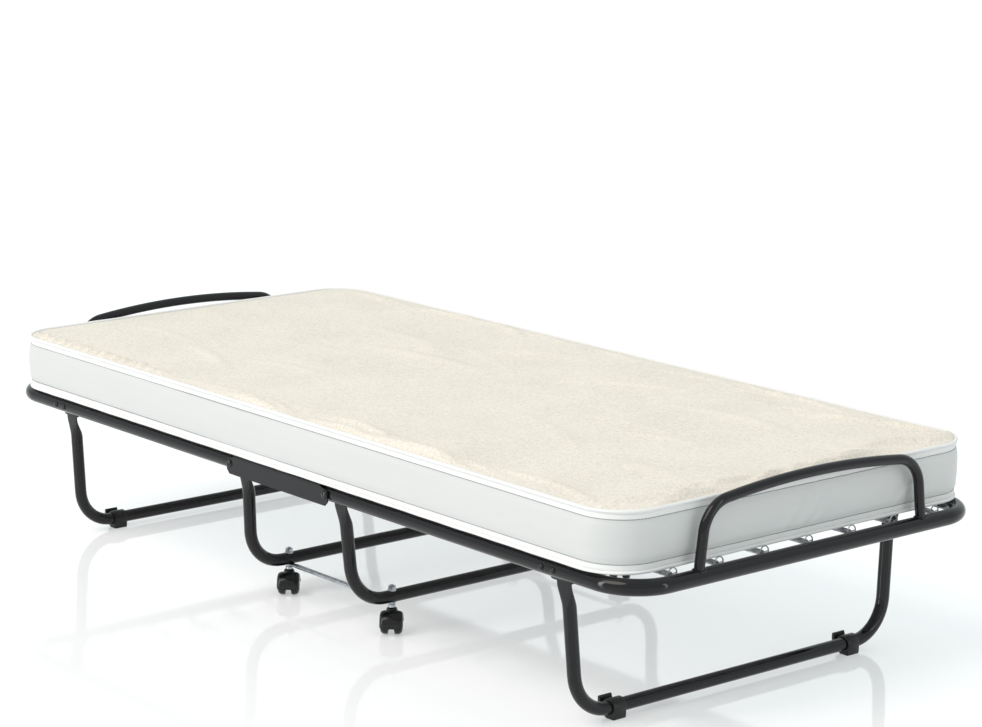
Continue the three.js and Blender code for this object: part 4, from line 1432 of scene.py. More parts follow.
@dataclass
class Decks(Assembly):
    """The wire nets and their tension springs."""

    wire: float = 0.0014
    spring_wire: float = 0.0009
    coil_radius: float = 0.0046
    coil_pitch: float = 0.0024
    eye_radius: float = 0.0066
    loop_radius: float = 0.0098
    loop_wire: float = 0.0012
    wires_across: int = 7
    hook_radius: float = 0.0034
    side_spring: float = 0.105
    end_spring: float = 0.100
    first_wire: float = 0.031
    leg_gap: float = 0.049
    middle_gap: float = 0.034
    height_over_rail: float = 0.010
    loop_rise: float = 0.0038
    loop_inset: float = 0.0115
    wire_gap: float = 0.0002
    bays: int = 5

    def __post_init__(self) -> None:
        """Works out where the wires lie."""
        p = self.places
        self.half_width = p.rail_y - self.side_spring
        self.height = p.rail_z + self.height_over_rail
        self.long_wires = [self.half_width * (2 * k / (self.wires_across - 1) - 1) for k in range(self.wires_across)]
        start, leg_wire = p.hinge_x + self.first_wire, p.pivot_x - self.leg_gap
        even = [start + (leg_wire - start) * k / (self.bays - 1) for k in range(self.bays)]
        self.cross_wires = [*even, p.end_x - self.end_spring]

    def helix(self, length: float) -> Draft:
        """A close-wound coil along +X from the origin.

        Args:
            length: the coil's length.

        Returns:
            The coil.
        """
        turns = length / self.coil_pitch
        count = int(turns * 9)
        stations = []
        for step in range(count + 1):
            angle = TAU * turns * step / count
            point = Vector((length * step / count, self.coil_radius * math.cos(angle),
                            self.coil_radius * math.sin(angle)))
            tangent = Vector((self.coil_pitch / TAU, -self.coil_radius * math.sin(angle),
                              self.coil_radius * math.cos(angle))).normalized()
            stations.append(Station(point, tangent))
        return tube(stations, Vector((1, 0, 0)), self.spring_wire, sides=5)

    def eye(self, radius: float) -> Draft:
        """A wire eye in the XZ plane, starting at the origin and standing towards +X.

        Args:
            radius: the eye's radius.

        Returns:
            The eye.
        """
        stations = []
        for step in range(26):
            angle = math.radians(180 - 330 * step / 25)
            point = Vector((radius + radius * math.cos(angle), 0, radius * math.sin(angle)))
            stations.append(Station(point, Vector((math.sin(angle), 0, -math.cos(angle)))))
        return tube(stations, Vector((0, 1, 0)), self.spring_wire, sides=6)

    def loop(self) -> Draft:
        """A wide wire loop across the bed, centred on the origin.

        Returns:
            The piece.
        """
        stations = []
        for step in range(32):
            angle = TAU * step / 32
            stations.append(Station(self.loop_radius * Vector((0, math.cos(angle), math.sin(angle))),
                                    Vector((0, -math.sin(angle), math.cos(angle)))))
        rings = [ring_across(one.point, one.tangent, Vector((1, 0, 0)), self.loop_wire, self.loop_wire, 8)
                 for one in stations]
        draft = Draft()
        draft.loft(rings, round_again=True)
        return draft

    def end_piece(self, length: float) -> Draft:
        """An end spring along +X, whose wide loop stands in the end rail.

        Args:
            length: from the wire's middle to the loop.

        Returns:
            The spring.
        """
        start, stop = 0.0058, length - 0.005
        draft = self.helix(stop - start).placed(at(start, 0, 0))
        draft.merge(self.eye(self.hook_radius).placed(at(start, 0, 0) @ Matrix.Rotation(math.pi, 4, "Z")))
        draft.merge(self.loop().placed(at(length, 0, self.loop_rise)))
        draft.merge(rod(Vector((stop - 0.001, self.coil_radius, 0)),
                        Vector((length, self.loop_radius * 0.98, self.loop_rise)), self.loop_wire * 0.9, 6))
        return draft

    def spring(self, length: float, lift: float) -> Draft:
        """A whole spring along +X, from a wire at the origin to a rail whose wall is at the length.

        Args:
            length: from the wire's middle to the rail's wall.
            lift: how far the far eye stands above the coil.

        Returns:
            The spring.
        """
        coil_start = 2 * self.hook_radius - 0.001
        coil_end = length - 2 * self.eye_radius + 0.0045
        draft = self.helix(coil_end - coil_start).placed(at(coil_start, 0, 0))
        hook = self.eye(self.hook_radius).placed(at(coil_start, 0, 0) @ Matrix.Rotation(math.pi, 4, "Z"))
        draft.merge(hook)
        tilt = Matrix.Rotation(-math.radians(12), 4, "Y")
        draft.merge(self.eye(self.eye_radius).placed(at(coil_end - 0.0006, 0, lift) @ tilt))
        draft.merge(rod(Vector((coil_end - 0.0012, 0, self.coil_radius * 0.3)),
                        Vector((coil_end + 0.0012, 0, lift + 0.001)), self.spring_wire, 6))
        return draft

    def net(self, crosses: Sequence[float], reach: float) -> Draft:
        """A net of long wires over cross wires.

        Args:
            crosses: where the cross wires lie in X.
            reach: the cross wires' half-length.

        Returns:
            The net.
        """
        draft = Draft()
        z = self.height
        for y in self.long_wires:
            line = [Station(Vector((crosses[0] - 0.004, y, z + self.wire)), Vector((1, 0, 0)))]
            count = 6 * (len(crosses) - 1)
            span = crosses[-1] - crosses[0]
            line += [Station(Vector((crosses[0] + span * k / count, y, z + self.wire)), Vector((1, 0, 0)))
                     for k in range(count + 1)]
            line.append(Station(Vector((crosses[-1] + 0.004, y, z + self.wire)), Vector((1, 0, 0))))
            draft.merge(tube(line, Vector((0, 0, 1)), self.wire, sides=8))
            for x in crosses:
                draft.merge(self.clip().placed(at(x, y, z)))
        for x in crosses:
            draft.merge(rod(Vector((x, -reach, z - self.wire)), Vector((x, reach, z - self.wire)), self.wire, 8))
        return draft

    def clip(self) -> Draft:
        """The small wire wrap that ties two crossing wires.

        Returns:
            The piece.
        """
        stations = []
        for step in range(15):
            angle = TAU * 1.6 * step / 14
            point = Vector((0.0032 * (step / 7 - 1), 0.0024 * math.cos(angle), 0.0030 * math.sin(angle)))
            tangent = Vector((0.0005, -math.sin(angle), math.cos(angle))).normalized()
            stations.append(Station(point, tangent))
        return tube(stations, Vector((1, 0, 0)), 0.0006, sides=5)

    def half_deck(self) -> Draft:
        """The foot half's net with its springs to the end rail and both side rails.

        Returns:
            The piece.
        """
        p = self.places
        draft = self.net(self.cross_wires, self.half_width + 0.003)
        last = self.cross_wires[-1]
        end_spring = self.end_piece(p.end_x - self.loop_inset - last)
        for y in self.long_wires:
            draft.merge(end_spring.placed(at(last, y, self.height)))
        side_spring = self.spring(p.rail_y - p.rail_radius - self.half_width, -0.0005)
        for x in self.cross_wires:
            for sign in (-1, 1):
                turn = Matrix.Rotation(sign * math.pi / 2, 4, "Z")
                draft.merge(side_spring.placed(at(x, sign * self.half_width, self.height - 0.0015) @ turn))
        return draft

    def build(self) -> None:
        """Makes the three decks."""
        p = self.places
        half = self.half_deck()
        for end in End:
            self.put(half.placed(mirror(end)), f"{end.word}_deck_net", self.finishes.spring, f"{end.word}_half",
                     Slot.SPRING, f"{end.word}_deck", crease=60.0)
        reach = p.hinge_x - self.middle_gap
        places = [reach * (2 * k / 3 - 1) for k in range(4)]
        self.put(self.net(places, p.channel[0].y - self.wire_gap), "middle_deck_net", self.finishes.spring,
                 "trolley", Slot.SPRING, "middle_deck", crease=60.0)


# The running gear.


@dataclass
class Casters(Assembly):
    """Four twin-wheel swivel casters with their stems, and the tie rods between them."""

    trail: float = 0.012
    wheel_radius: float = 0.021
    half_width: float = 0.023
    yaw: float = math.radians(48)

    def frame_at(self, end: End, side: Side) -> Matrix:
        """A caster's own frame: stem on Z, axle along X, wheels trailing to -Y."""
        p = self.places
        return at(end.value * p.stem_x, side.value * p.stem_y, 0) @ Matrix.Rotation(self.yaw, 4, "Z")

    def hood(self) -> Draft:
        """The hood over both wheels, with its fork and its stem socket.

        Returns:
            The piece.
        """
        inner, outer, half = self.wheel_radius + 0.0010, self.wheel_radius + 0.0040, self.half_width
        upper = [(half, inner - 0.0095), (half - 0.0003, inner - 0.0058), (half - 0.0014, inner - 0.0012),
                 (half - 0.0040, outer - 0.0018), (half - 0.0085, outer - 0.0003)]
        lower = [(half - 0.0011, inner - 0.0095), (half - 0.0014, inner - 0.0055), (half - 0.0030, inner - 0.0022),
                 (half - 0.0060, inner - 0.0006), (half - 0.0095, inner)]
        section = ([(-x, r) for x, r in upper] + [(0.0, outer + 0.0004)] + upper[::-1]
                   + lower + [(0.0, inner)] + [(-x, r) for x, r in lower[::-1]])
        draft = Draft()
        rings = []
        for step in range(33):
            angle = math.radians(8 + 184 * step / 32)
            away = Vector((0, math.cos(angle), math.sin(angle)))
            rings.append([Vector((x, 0, 0)) + away * r for x, r in section])
        hood = Draft()
        hood.loft(rings)
        centre = at(0, -self.trail, self.wheel_radius)
        draft.merge(hood.placed(centre))
        fork = arc((0, 0), inner + 0.0015, 10, 190, 18) + [(-0.0065, -0.0065), (0.0065, -0.0065)]
        web = slab(fork, -0.0034, 0.0034, 0.0006).placed(centre @ Matrix.Rotation(math.pi / 2, 4, "Z"))
        draft.merge(web)
        socket = rounded_profile([(0.0, 0.0425), (0.0118, 0.0425), (0.0098, 0.0478), (0.0088, 0.0495), (0.0, 0.0495)],
                                 0.0015)
        draft.merge(turned(socket, 32))
        return draft

    def wheels(self) -> Draft:
        """Both wheels on their axle: treads with a fine groove, domed outer faces with a raised hub.

        Returns:
            The piece.
        """
        r, w = self.wheel_radius, self.half_width
        tread = [(0.0031, 0.005), (0.0150, 0.005), (0.0160, 0.0062), (r - 0.0012, 0.0062), (r, 0.0076), (r, 0.0118),
                 (r - 0.0005, 0.0122), (r, 0.0126), (r, w - 0.0095), (r - 0.0010, w - 0.0060),
                 (r - 0.0030, w - 0.0034), (r - 0.0060, w - 0.0018), (r - 0.0080, w - 0.0022),
                 (r - 0.0090, w - 0.0034), (0.0080, w - 0.0030), (0.0072, w - 0.0014), (0.0060, w - 0.0009),
                 (0.0, w - 0.0004)]
        half = turned(rounded_profile(tread, 0.0006), 40)
        draft = turned([(0.0, -w + 0.003), (0.0029, -w + 0.003), (0.0029, w - 0.003), (0.0, w - 0.003)], 16)
        draft.merge(half)
        draft.merge(half.placed(Matrix.Diagonal((1, 1, -1, 1))))
        return draft.placed(at(0, -self.trail, r) @ Matrix.Rotation(math.pi / 2, 4, "Y"))

    def stem(self) -> Draft:
        """A caster's threaded stem: collar below the tie rod's eye, washer and nut on the leg's bar.

        Returns:
            The piece.
        """
        p = self.places
        bar_top = p.centre_bar_z + p.leg_radius
        nut = bar_top + 0.0012
        thread = []
        top = nut + 0.0093
        for k in range(9):
            z = nut + 0.0064 + 0.0003 * k
            thread.append((0.0038 if k % 2 else 0.0035, z))
        draft = turned([(0.0, 0.0415), (0.0038, 0.0415), (0.0038, 0.0497), (0.0062, 0.0499), (0.0070, 0.0506),
                        (0.0070, 0.0549), (0.0064, 0.0558), (0.0038, 0.0559), (0.0038, nut), *thread,
                        (0.0030, top), (0.0, top)], 28)
        draft.merge(turned([(0.0037, bar_top - 0.0012), (0.0085, bar_top - 0.0012), (0.0087, bar_top + 0.0002),
                            (0.0085, nut), (0.0037, nut)], 28))
        draft.merge(hexagon_nut(0.0072, 0.0063).placed(at(0, 0, nut)))
        return draft

    def tie_rod(self) -> Draft:
        """The far side's tie rod: a round bar pressed flat into an eye at both ends.

        Returns:
            The piece.
        """
        _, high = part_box("tie_rod_far")
        z = high.z - 0.0015
        y = self.places.stem_y
        end = self.places.stem_x + 0.0088
        rings = []
        places = [(-end + 0.0004, 0.0022, 0.0013)]
        for k in range(1, 13):
            share = k / 12
            angle = math.pi * share
            x = -self.places.stem_x - 0.0088 * math.cos(angle)
            width = 0.0088 * math.sin(angle)
            if x < -self.places.stem_x + 0.003:
                places.append((x, max(width, 0.003), 0.0014))
        places += [(-self.places.stem_x + 0.008, 0.0070, 0.0014), (-self.places.stem_x + 0.014, 0.0058, 0.0022),
                   (-self.places.stem_x + 0.020, 0.0049, 0.0036), (-self.places.stem_x + 0.027, 0.0045, 0.0045)]
        places += [(-x, w, h) for x, w, h in reversed(places)]
        for x, width, depth in places:
            flat = min(1.0, max(0.0, (0.0045 - depth) / 0.0031))
            rings.append(ring_across(Vector((x, y, z)), Vector((1, 0, 0)), Vector((0, 0, 1)), width, depth, 20,
                                     1 - 0.6 * flat))
        draft = Draft()
        draft.loft(rings)
        return draft

    def build(self) -> None:
        """Makes the casters, stems and tie rods."""
        hood, wheels, stem = self.hood(), self.wheels(), self.stem()
        plastic, zinc = self.finishes.caster_plastic, self.finishes.zinc
        for end, side, place in bed_corners():
            here = self.frame_at(end, side)
            self.put(hood.placed(here), f"caster_hood_{place}", plastic, f"caster_{place}", Slot.PLASTIC,
                     f"caster_housing_{place}")
            self.put(wheels.placed(here), f"caster_wheel_pair_{place}", plastic, f"wheels_{place}", Slot.PLASTIC,
                     f"caster_wheels_{place}")
            self.put(stem.placed(here), f"caster_stem_{place}_set", zinc, "trolley", Slot.ZINC,
                     f"caster_stem_{place}")
        for side in Side:
            self.put(self.tie_rod().placed(mirror(side=side)), f"tie_rod_{side.word}_bar", zinc, "trolley", Slot.ZINC,
                     f"tie_rod_{side.word}", crease=50.0)


@dataclass
class FootClips(Assembly):
    """The four moulded clips that the folding legs stand on."""

    bore: float = 0.0127
    band: float = 0.0163
    width: float = 0.030

    def outline(self) -> list[Point]:
        """The band and foot round the bar's centre, one point for each of many equal angles.

        Returns:
            The points.
        """
        floor = -self.places.outer_bar_z
        foot = [(-0.006, floor), (0.014, floor), (0.0150, floor + 0.005), (self.band * 0.95, 0.0),
                (-self.band * 0.95, 0.0), (-self.band, floor + 0.007)]
        points = []
        steps = 72
        for step in range(steps):
            angle = TAU * step / steps
            ray = Vector((math.cos(angle), math.sin(angle)))
            reach = self.band
            for one, two in zip(foot, [*foot[1:], foot[0]]):
                a, b = Vector(one), Vector(two)
                edge = b - a
                across = ray.x * edge.y - ray.y * edge.x
                if abs(across) < 1e-9:
                    continue
                along = (a.x * edge.y - a.y * edge.x) / across
                share = (a.x * ray.y - a.y * ray.x) / across
                if along > 0 and -1e-6 <= share <= 1 + 1e-6:
                    reach = max(reach, along)
            points.append((ray.x * reach, ray.y * reach))
        return points

    def draft(self) -> Draft:
        """A clip centred on the bar's axis.

        Returns:
            The piece.
        """
        outer = self.outline()
        half = self.width / 2
        draft = Draft()
        rings = []
        for y, shrink in ((-half, 0.0009), (-half + 0.0003, 0.0003), (-half + 0.0010, 0.0), (half - 0.0010, 0.0),
                          (half - 0.0003, 0.0003), (half, 0.0009)):
            ring = []
            for x, z in outer:
                length = math.hypot(x, z)
                ring.append(Vector((x * (1 - shrink / length), y, z * (1 - shrink / length))))
            rings.append(ring)
        turns = [TAU * k / len(outer) for k in range(len(outer))]
        bore = [[Vector((self.bore * math.cos(turn), y, self.bore * math.sin(turn))) for turn in turns]
                for y in (half, -half)]
        draft.loft(rings + bore, round_again=True)
        arm = ([(-0.0134, -0.001), (-0.0134, 0.0052), (-0.0208, 0.0050)] + arc((-0.0216, 0.0060), 0.0010, -60, 0, 2)
               + arc((-0.0255, 0.0132), 0.0024, 10, 170, 8) + [(-0.0280, 0.003), (-0.0268, 0.0008), (-0.0250, 0.0)])
        draft.merge(slab(arm, -half, half, 0.0009))
        return draft

    def build(self) -> None:
        """Makes all four clips."""
        p = self.places
        clip = self.draft()
        for end, side, place in bed_corners():
            middle = at(end.value * p.outer_bar_x, side.value * p.stem_y, p.outer_bar_z)
            self.put(clip.placed(middle), f"foot_clip_{place}_moulding", self.finishes.clip_plastic,
                     f"{end.word}_leg_frame", Slot.PLASTIC, f"foot_clip_{place}", crease=40.0)


# The mattress.


@dataclass(frozen=True)
class Crease:
    """One soft fold in the cover: a ridge with a hollow beside it."""

    x: float
    y: float
    heading: float
    length: float
    width: float
    rise: float

    def lift(self, x: np.ndarray, y: np.ndarray) -> np.ndarray:
        """How far the fold lifts the cover.

        Args:
            x: places along the bed.
            y: places across it.

        Returns:
            The lift at each place.
        """
        dx, dy = x - self.x, y - self.y
        along = dx * math.cos(self.heading) + dy * math.sin(self.heading)
        across = -dx * math.sin(self.heading) + dy * math.cos(self.heading)
        bent = across + 0.12 * along * along / self.length
        shape = np.exp(-((along / self.length) ** 2)) * np.exp(-((bent / self.width) ** 2))
        return self.rise * shape * (1 - 1.1 * (bent / self.width))


@dataclass
class Mattress(Assembly):
    """The boxed foam mattress: towelling top, satin border, backing, and white binding with its seams."""

    cell: float = 0.0065
    border_rows: int = 16
    band_rows: int = 2
    corner: float = 0.085
    bead: float = 0.0036
    bead_flatness: float = 0.92
    bead_sides: int = 10
    thread: float = 0.0007
    seam_drop: float = 0.0068
    crown: float = 0.0062
    crown_reach: float = 0.016
    swell: float = 0.0012
    swell_length: float = 0.26
    fold_gain: float = 2.9
    fold_start: float = 0.008
    border_start: float = 0.004
    border_stop: float = 0.0064
    belly: float = 0.0052
    foot_folds: tuple = (-0.02, 0.025, 0.062, 0.27)
    bend_half: float = 0.135
    seed: int = 11

    def __post_init__(self) -> None:
        """Measures the solids that the mattress fills."""
        low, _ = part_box("mattress_head")
        _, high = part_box("mattress_foot")
        self.half_x, self.half_y = high.x, high.y
        self.bottom, self.top = low.z, high.z
        self.columns = 2 * round(self.half_x / self.cell)
        self.rows = 2 * round(self.half_y / self.cell)

    def plan(self, inset: float = 0.0) -> tuple[np.ndarray, np.ndarray]:
        """The panel's grid in plan, with its square corners drawn onto the round ones.

        Args:
            inset: how far the outline is drawn in.

        Returns:
            X and Y of the grid's points, by column and row.
        """
        half_x, half_y, corner = self.half_x - inset, self.half_y - inset, self.corner - inset
        u, v = np.meshgrid(np.linspace(-half_x, half_x, self.columns + 1),
                           np.linspace(-half_y, half_y, self.rows + 1), indexing="ij")
        a, b = np.abs(u) - (half_x - corner), np.abs(v) - (half_y - corner)
        inside = (a > 0) & (b > 0)
        longest = np.maximum(a, b)
        length = np.hypot(a, b)
        scale = np.where(inside & (length > 1e-9), longest / np.where(length > 1e-9, length, 1), 1.0)
        x = np.where(inside, np.sign(u) * (half_x - corner + a * scale), u)
        y = np.where(inside, np.sign(v) * (half_y - corner + b * scale), v)
        return x, y

    def rim(self) -> list[tuple[int, int]]:
        """The grid's outermost points, in order round the panel, counter-clockwise from above.

        Returns:
            Each point's column and row.
        """
        near = [(i, 0) for i in range(self.columns)]
        foot = [(self.columns, j) for j in range(self.rows)]
        far = [(i, self.rows) for i in range(self.columns, 0, -1)]
        head = [(0, j) for j in range(self.rows, 0, -1)]
        return near + foot + far + head

    def fold(self, draw: np.random.Generator, place: Point, heading: float, *spans: Point) -> Crease:
        """One fold, drawn at random within its spans.

        Args:
            draw: the source of random numbers.
            place: its X and Y.
            heading: its heading in degrees, before the first span is added.
            spans: the least and most of its turn, length, width and rise.

        Returns:
            The fold.
        """
        turn, length, width, rise = (draw.uniform(*span) for span in spans)
        return Crease(*place, math.radians(heading + turn), length, width, rise)

    def creases(self) -> list[Crease]:
        """The folds that the cover has taken: along both long edges, at the foot and towards the far foot corner.

        Returns:
            The folds.
        """
        draw = np.random.default_rng(self.seed)
        near, far, foot = -self.half_y, self.half_y, self.half_x
        folds = []
        for k in range(15):
            x = -0.90 + 0.034 * k + draw.uniform(-0.006, 0.006)
            folds.append(self.fold(draw, (x, near + 0.020), 80, (-18, 18), (0.012, 0.022), (0.007, 0.010),
                                   (0.0018, 0.0036)))
        for _ in range(10):
            x, y = draw.uniform(-0.15, 0.75), near + draw.uniform(0.018, 0.060)
            folds.append(self.fold(draw, (x, y), 0, (-9, 4), (0.09, 0.17), (0.008, 0.013), (0.0012, 0.0024)))
        for k in range(11):
            y = -0.36 + 0.075 * k + draw.uniform(-0.02, 0.02)
            x = foot - draw.uniform(0.022, 0.060)
            folds.append(self.fold(draw, (x, y), 90, (-14, 14), (0.05, 0.10), (0.007, 0.011), (0.0022, 0.0038)))
        for k in range(7):
            x, y = foot - 0.10 - 0.035 * k, far - 0.035 - 0.012 * k
            folds.append(self.fold(draw, (x, y), 28, (-10, 14), (0.05, 0.09), (0.008, 0.013), (0.0008, 0.0014)))
        for _ in range(16):
            x, y = draw.uniform(-0.85, 0.80), draw.uniform(-0.30, 0.38)
            folds.append(self.fold(draw, (x, y), 0, (-25, 35), (0.07, 0.20), (0.012, 0.022), (0.0005, 0.0013)))
        for _ in range(9):
            x, y = draw.uniform(-0.8, 0.6), far - draw.uniform(0.02, 0.05)
            folds.append(self.fold(draw, (x, y), 0, (-10, 10), (0.06, 0.14), (0.008, 0.012), (0.0010, 0.0020)))
        return folds

    def waves(self, x: np.ndarray, y: np.ndarray, size: float) -> np.ndarray:
        """Slow, irregular unevenness.

        Args:
            x: places along the bed.
            y: places across it.
            size: the length of one swell.

        Returns:
            A value between about -1 and 1 at each place.
        """
        draw = np.random.default_rng(self.seed + 5)
        total = np.zeros_like(x)
        for _ in range(9):
            heading, phase = draw.uniform(0, TAU, 2)
            rate = TAU / (size * draw.uniform(0.7, 1.9))
            total += np.sin(rate * (x * math.cos(heading) + y * math.sin(heading)) + phase)
        return total / 4.2

    def top_height(self, x: np.ndarray, y: np.ndarray, depth: np.ndarray) -> np.ndarray:
        """The towelling's height: pulled down at the seam, full inside it, with the cover's folds.

        Args:
            x: places along the bed.
            y: places across it.
            depth: how far each place lies inside the outline.

        Returns:
            The heights.
        """
        full = 1 - np.exp(-depth / self.crown_reach)
        swell = self.swell * self.waves(x, y, self.swell_length) * full
        height = self.top - self.seam_drop + self.crown * full + swell
        lift = self.fold_gain * sum(fold.lift(x, y) for fold in self.creases())
        return height + lift * np.clip(depth / self.fold_start, 0, 1)

    def depth(self, x: np.ndarray, y: np.ndarray) -> np.ndarray:
        """How far places lie inside the rounded outline.

        Args:
            x: places along the bed.
            y: places across it.

        Returns:
            The depth of each place.
        """
        a = np.abs(x) - (self.half_x - self.corner)
        b = np.abs(y) - (self.half_y - self.corner)
        outside = np.hypot(np.maximum(a, 0), np.maximum(b, 0)) + np.minimum(np.maximum(a, b), 0)
        return self.corner - outside

    def border_point(self, x: float, y: float, out: Vector, rise: float, run: float) -> Vector:
        """One point of the border.

        Args:
            x: the outline's X there.
            y: the outline's Y there.
            out: the direction away from the mattress.
            rise: 0 at the lower seam and 1 at the upper one.
            run: the distance round the outline.

        Returns:
            The point.
        """
        low, high = self.bottom + self.border_start, self.top - self.border_stop
        belly = self.belly * math.sin(math.pi * rise) ** 0.7
        ripple = (0.0010 * math.sin(run * 9.1 + 5 * rise) * math.sin(run * 3.7)
                  + 0.0007 * math.sin(run * 37 + 3.0 * math.sin(run * 5.3)) * math.sin(math.pi * rise))
        seam = sum(-0.0024 * math.exp(-(((rise - seam) * (high - low)) / 0.0030) ** 2) for seam in self.seams())
        fold = 0.0
        if x > self.half_x - 0.02:
            fold = sum(0.0036 * math.exp(-((y - place - 0.11 * (rise - 0.5)) / 0.007) ** 2)
                       for place in self.foot_folds)
        push = belly + (ripple + fold) * math.sin(math.pi * rise) + seam
        return Vector((x, y, low + (high - low) * rise)) + out * push

    def seams(self) -> tuple[float, float]:
        """How far up the border its two seams lie."""
        share = self.band_rows / self.border_rows
        return share, 1 - share

    def rim_facts(self) -> list[tuple[float, float, Vector, float]]:
        """Each rim point's place, outward direction and distance round the outline.

        Returns:
            X, Y, the direction and the distance, for each point.
        """
        x, y = self.plan()
        rim = self.rim()
        points = [Vector((x[i, j], y[i, j], 0)) for i, j in rim]
        facts, run = [], 0.0
        for index, point in enumerate(points):
            before, after = points[index - 1], points[(index + 1) % len(points)]
            if index:
                run += (point - before).length
            along = (after - before).normalized()
            facts.append((point.x, point.y, Vector((along.y, -along.x, 0)), run))
        return facts

    def shell(self) -> tuple[np.ndarray, list[tuple[int, ...]], list[int], np.ndarray, np.ndarray]:
        """The whole mattress as one closed shell.

        Returns:
            Its points, faces, each face's finish number, and the run and rise of each point.
        """
        width = self.rows + 1
        x, y = self.plan()
        depth = self.depth(x, y)
        top = np.stack([x, y, self.top_height(x, y, depth)], -1).reshape(-1, 3)
        under = self.bottom + 0.0036 * np.exp(-depth / 0.012) + 0.0004 * (1 + self.waves(x, y, 0.3))
        base = np.stack([x, y, under], -1).reshape(-1, 3)
        facts = self.rim_facts()
        rows = [[self.border_point(px, py, out, k / self.border_rows, run) for px, py, out, run in facts]
                for k in range(1, self.border_rows)]
        border = np.array([tuple(point) for row in rows for point in row])
        points = np.concatenate([top, base, border])
        rim = [i * width + j for i, j in self.rim()]
        count = len(rim)
        levels = [[len(top) + k for k in rim]]
        first = len(top) + len(base)
        levels += [[first + row * count + k for k in range(count)] for row in range(self.border_rows - 1)]
        levels.append(rim)
        faces, finish = [], []
        for i in range(self.columns):
            for j in range(self.rows):
                a, b = i * width + j, (i + 1) * width + j
                faces += [(a, b, b + 1, a + 1), tuple(len(top) + k for k in (a, a + 1, b + 1, b))]
                finish += [0, 2]
        for number, (low, high) in enumerate(zip(levels, levels[1:])):
            taped = min(number, self.border_rows - 1 - number) < self.band_rows
            for k in range(count):
                after = (k + 1) % count
                faces.append((low[k], low[after], high[after], high[k]))
                finish.append(3 if taped else 1)
        run = np.zeros(len(points))
        rise = np.zeros(len(points))
        for number, level in enumerate(levels):
            for k, index in enumerate(level):
                run[index] = facts[k][3]
                rise[index] = (self.top - self.bottom) * number / self.border_rows
        return points, faces, finish, run, rise

    def half(self, end: End, shell: tuple, normals: np.ndarray) -> bpy.types.Object:
        """Cuts the shell at mid-length and closes one half.

        Args:
            end: which half.
            shell: the whole shell.
            normals: the whole shell's normals at each point.

        Returns:
            The half's object.
        """
        points, faces, finish, run, rise = shell
        kept = [k for k, face in enumerate(faces) if end.value * sum(points[c][0] for c in face) > 0]
        used = sorted({corner for k in kept for corner in faces[k]})
        new = {old: index for index, old in enumerate(used)}
        own = [tuple(new[corner] for corner in faces[k]) for k in kept]
        edges = dict.fromkeys(pair for face in own for pair in zip(face, (*face[1:], face[0])))
        loose = {two: one for one, two in edges if (two, one) not in edges}
        start = next(iter(loose))
        cap = [start]
        while loose[cap[-1]] != start:
            cap.append(loose[cap[-1]])
        mesh = bpy.data.meshes.new(f"mattress_{end.word}_part")
        mesh.from_pydata([tuple(points[k]) for k in used], [], [*own, tuple(cap)])
        for key, values in (("run", run), ("rise", rise)):
            mesh.attributes.new(key, "FLOAT", "POINT").data.foreach_set("value", [values[k] for k in used])
        for material in (self.finishes.terry, self.finishes.satin, self.finishes.backing, self.finishes.tape):
            mesh.materials.append(material)
        mesh.polygons.foreach_set("material_index", [finish[k] for k in kept] + [1])
        mesh.shade_smooth()
        mesh.normals_split_custom_set_from_vertices([tuple(normals[k]) for k in used])
        made = bpy.data.objects.new(mesh.name, mesh)
        bpy.context.scene.collection.objects.link(made)
        return made

    def soft_piece(self, piece: bpy.types.Object, end: End, *nodes: str) -> None:
        """Bakes a mattress piece's transform into its mesh and hides the solids it stands for.

        Args:
            piece: the piece.
            end: the half it belongs to.
            nodes: the solids it stands for.
        """
        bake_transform(piece)
        if nodes:
            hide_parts(*nodes)
        log.info("%s bends from the trolley to %s_half: %d faces", piece.name, end.word, len(piece.data.polygons))

    def rim_line(self, end: End, rise: float, out: float) -> list[tuple[Vector, Vector, float]]:
        """A half outline at one height of the border.

        Args:
            end: which half.
            rise: 0 at the lower seam and 1 at the upper one.
            out: how far outside the border.

        Returns:
            Places, outward directions and runs, from one cut to the other.
        """
        facts = self.rim_facts()
        middle = self.columns // 2
        count = len(facts)
        far_middle = self.columns + self.rows + self.columns // 2
        if end is End.FOOT:
            picked = range(middle, far_middle + 1)
        else:
            picked = range(far_middle, count + middle + 1)
        line = []
        for index in picked:
            x, y, away, run = facts[index % count]
            if index >= count:
                run += facts[-1][3]
            if index in (middle, far_middle, count + middle):
                x = 0.0
            line.append((self.border_point(x, y, away, rise, run) + away * out, away, run))
        return line

    def binding(self, end: End) -> Draft:
        """The piped binding round the upper and lower edges of one half.

        Args:
            end: which half.

        Returns:
            The two beads.
        """
        draft = Draft()
        runs = []
        for rise, lift in ((0.0, -0.0010), (1.0, 0.0012)):
            rings = []
            line = self.rim_line(end, rise, 0.0006)
            for index, (point, _, run) in enumerate(line):
                before, after = line[max(index - 1, 0)][0], line[min(index + 1, len(line) - 1)][0]
                along = (after - before).normalized()
                size = self.bead * (1 + 0.05 * math.sin(run * 61) + 0.04 * math.sin(run * 23))
                rings.append(ring_across(point + Vector((0, 0, lift)), along, Vector((0, 0, 1)), size,
                                         size * self.bead_flatness, self.bead_sides))
                runs += [run] * self.bead_sides
            draft.loft(rings)
        draft.marks["run"] = runs
        return draft

